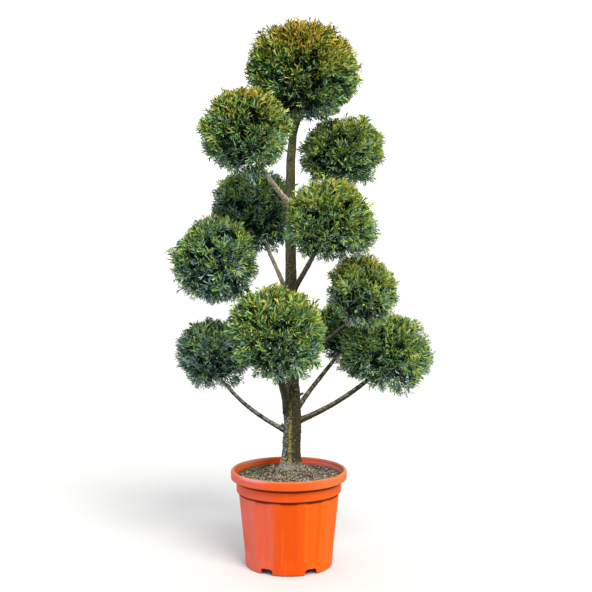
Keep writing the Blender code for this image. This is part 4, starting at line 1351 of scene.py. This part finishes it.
def grow_ball(name, seed):
    """One ball: its stem and twigs as one piece, its leaves as another."""
    picks = np.random.default_rng(seed)
    (foot, heart, radius), starts, ends, directions = main_twigs(name)
    roots, tips, aims = fine_twigs(name, starts, ends, directions, picks)
    hang_starts, hang_runs = hanging_twigs(name, picks)
    sticks = [(np.array([foot]), np.array([heart - foot]), radius),
              (starts, ends - starts, TWIG_RADIUS), (roots, tips - roots, FINE_TWIG_RADIUS),
              (hang_starts, hang_runs, HANGING_TWIG_RADIUS)]
    places, runs, thick = (np.concatenate(part) for part in zip(*(
        (start, stretch, np.full(len(start), width)) for start, stretch, width in sticks)))
    levels = picks.uniform(0.0, 2.0, len(places))
    levels[0] = 2.0
    sizes = np.stack([thick, thick, lengths(runs)], axis=1)
    wood = twig_growth.make("twigs_" + name, grown_from(picks, places, runs, sizes, levels, levels),
                            Copies=sticks_kit)
    outer = outer_sprays(name, roots, tips, aims, picks)
    inner = inner_sprays(name, picks)
    places, lean, size, level, warm = [np.concatenate(pair) for pair in zip(outer, inner)]
    sizes = np.repeat(size[:, None], 3, axis=1)
    leaves = leaf_growth.make("leaves_" + name, grown_from(picks, places, lean, sizes, level, warm),
                              Copies=sprig_kit)
    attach(wood, "root")
    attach(leaves, "root")
    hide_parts("foliage_" + name)


LIMBS = limb_segments()
sprig_kit = collected("sprigs", [sprig("sprig_%d" % seed, seed, sides, lean)
                                 for seed, (sides, lean) in enumerate(SPRIGS, 1)])
sticks_kit = collected("sticks", [stick("stick", 5, 0.45)])
leaf_growth = growth_shape("leaf_growth", [("leaf_shade", LEAF_SHADE, ANY, ANY)] + [
    ("leaf_%s_%d" % (hue, level), colour, least_warmth, level)
    for hue, (least_warmth, *colours) in LEAF_HUES.items() for level, colour in enumerate(colours)])
twig_growth = growth_shape("twig_growth", [
    (tone, colour, ANY, level - 0.5) for level, (tone, colour) in enumerate(TWIG_WOOD.items())])
for seed, name in enumerate(BALLS, 100):
    grow_ball(name, seed)
clear_away(sprig_kit)
clear_away(sticks_kit)

# FLOOR, LIGHT AND CAMERA
# A plain white floor in soft daylight that comes from high up in front on the right. The camera
# stands 3.6 m in front of the plant, a little above its middle, and looks slightly down.

FLOOR_SIZE = 60.0
SKY_COLOUR = (0.98, 0.99, 1.0, 1.0)
SKY_STRENGTH = 1.30
SUN_DIRECTION = (-0.30, 0.62, -0.72)
SUN_STRENGTH = 4.2
SUN_SOFTNESS = math.radians(32.0)
SUN_COLOUR = (1.0, 0.965, 0.90)
CAMERA_PLACE = (0.0225, -3.6, 1.146)
CAMERA_DOWN = 4.55
CAMERA_LENS = 69.8
CAMERA_SENSOR = 36.0

form = bmesh.new()
bmesh.ops.create_grid(form, x_segments=2, y_segments=2, size=FLOOR_SIZE / 2)
floor = from_form("floor", form)
floor_white = Finish("floor_white")
floor_white.set(Base_Color=(0.50, 0.50, 0.50), Roughness=0.85)
floor.data.materials.append(floor_white.material)

world = bpy.data.worlds.new("daylight")
world.use_nodes = True
sky = world.node_tree.nodes["Background"].inputs
sky["Color"].default_value = SKY_COLOUR
sky["Strength"].default_value = SKY_STRENGTH
bpy.context.scene.world = world

sun = bpy.data.lights.new("hazy_sun", "SUN")
sun.energy = SUN_STRENGTH
sun.angle = SUN_SOFTNESS
sun.color = SUN_COLOUR
new_object("hazy_sun", sun).rotation_euler = Vector(SUN_DIRECTION).to_track_quat("-Z", "Y").to_euler()
bpy.context.scene.view_settings.view_transform = "Standard"
bpy.context.scene.view_settings.look = "None"

camera = new_object("camera", bpy.data.cameras.new("camera"))
camera.data.lens = CAMERA_LENS
camera.data.sensor_width = CAMERA_SENSOR
camera.location = CAMERA_PLACE
camera.rotation_euler = (math.radians(90.0 - CAMERA_DOWN), 0.0, 0.0)
bpy.context.scene.camera = camera
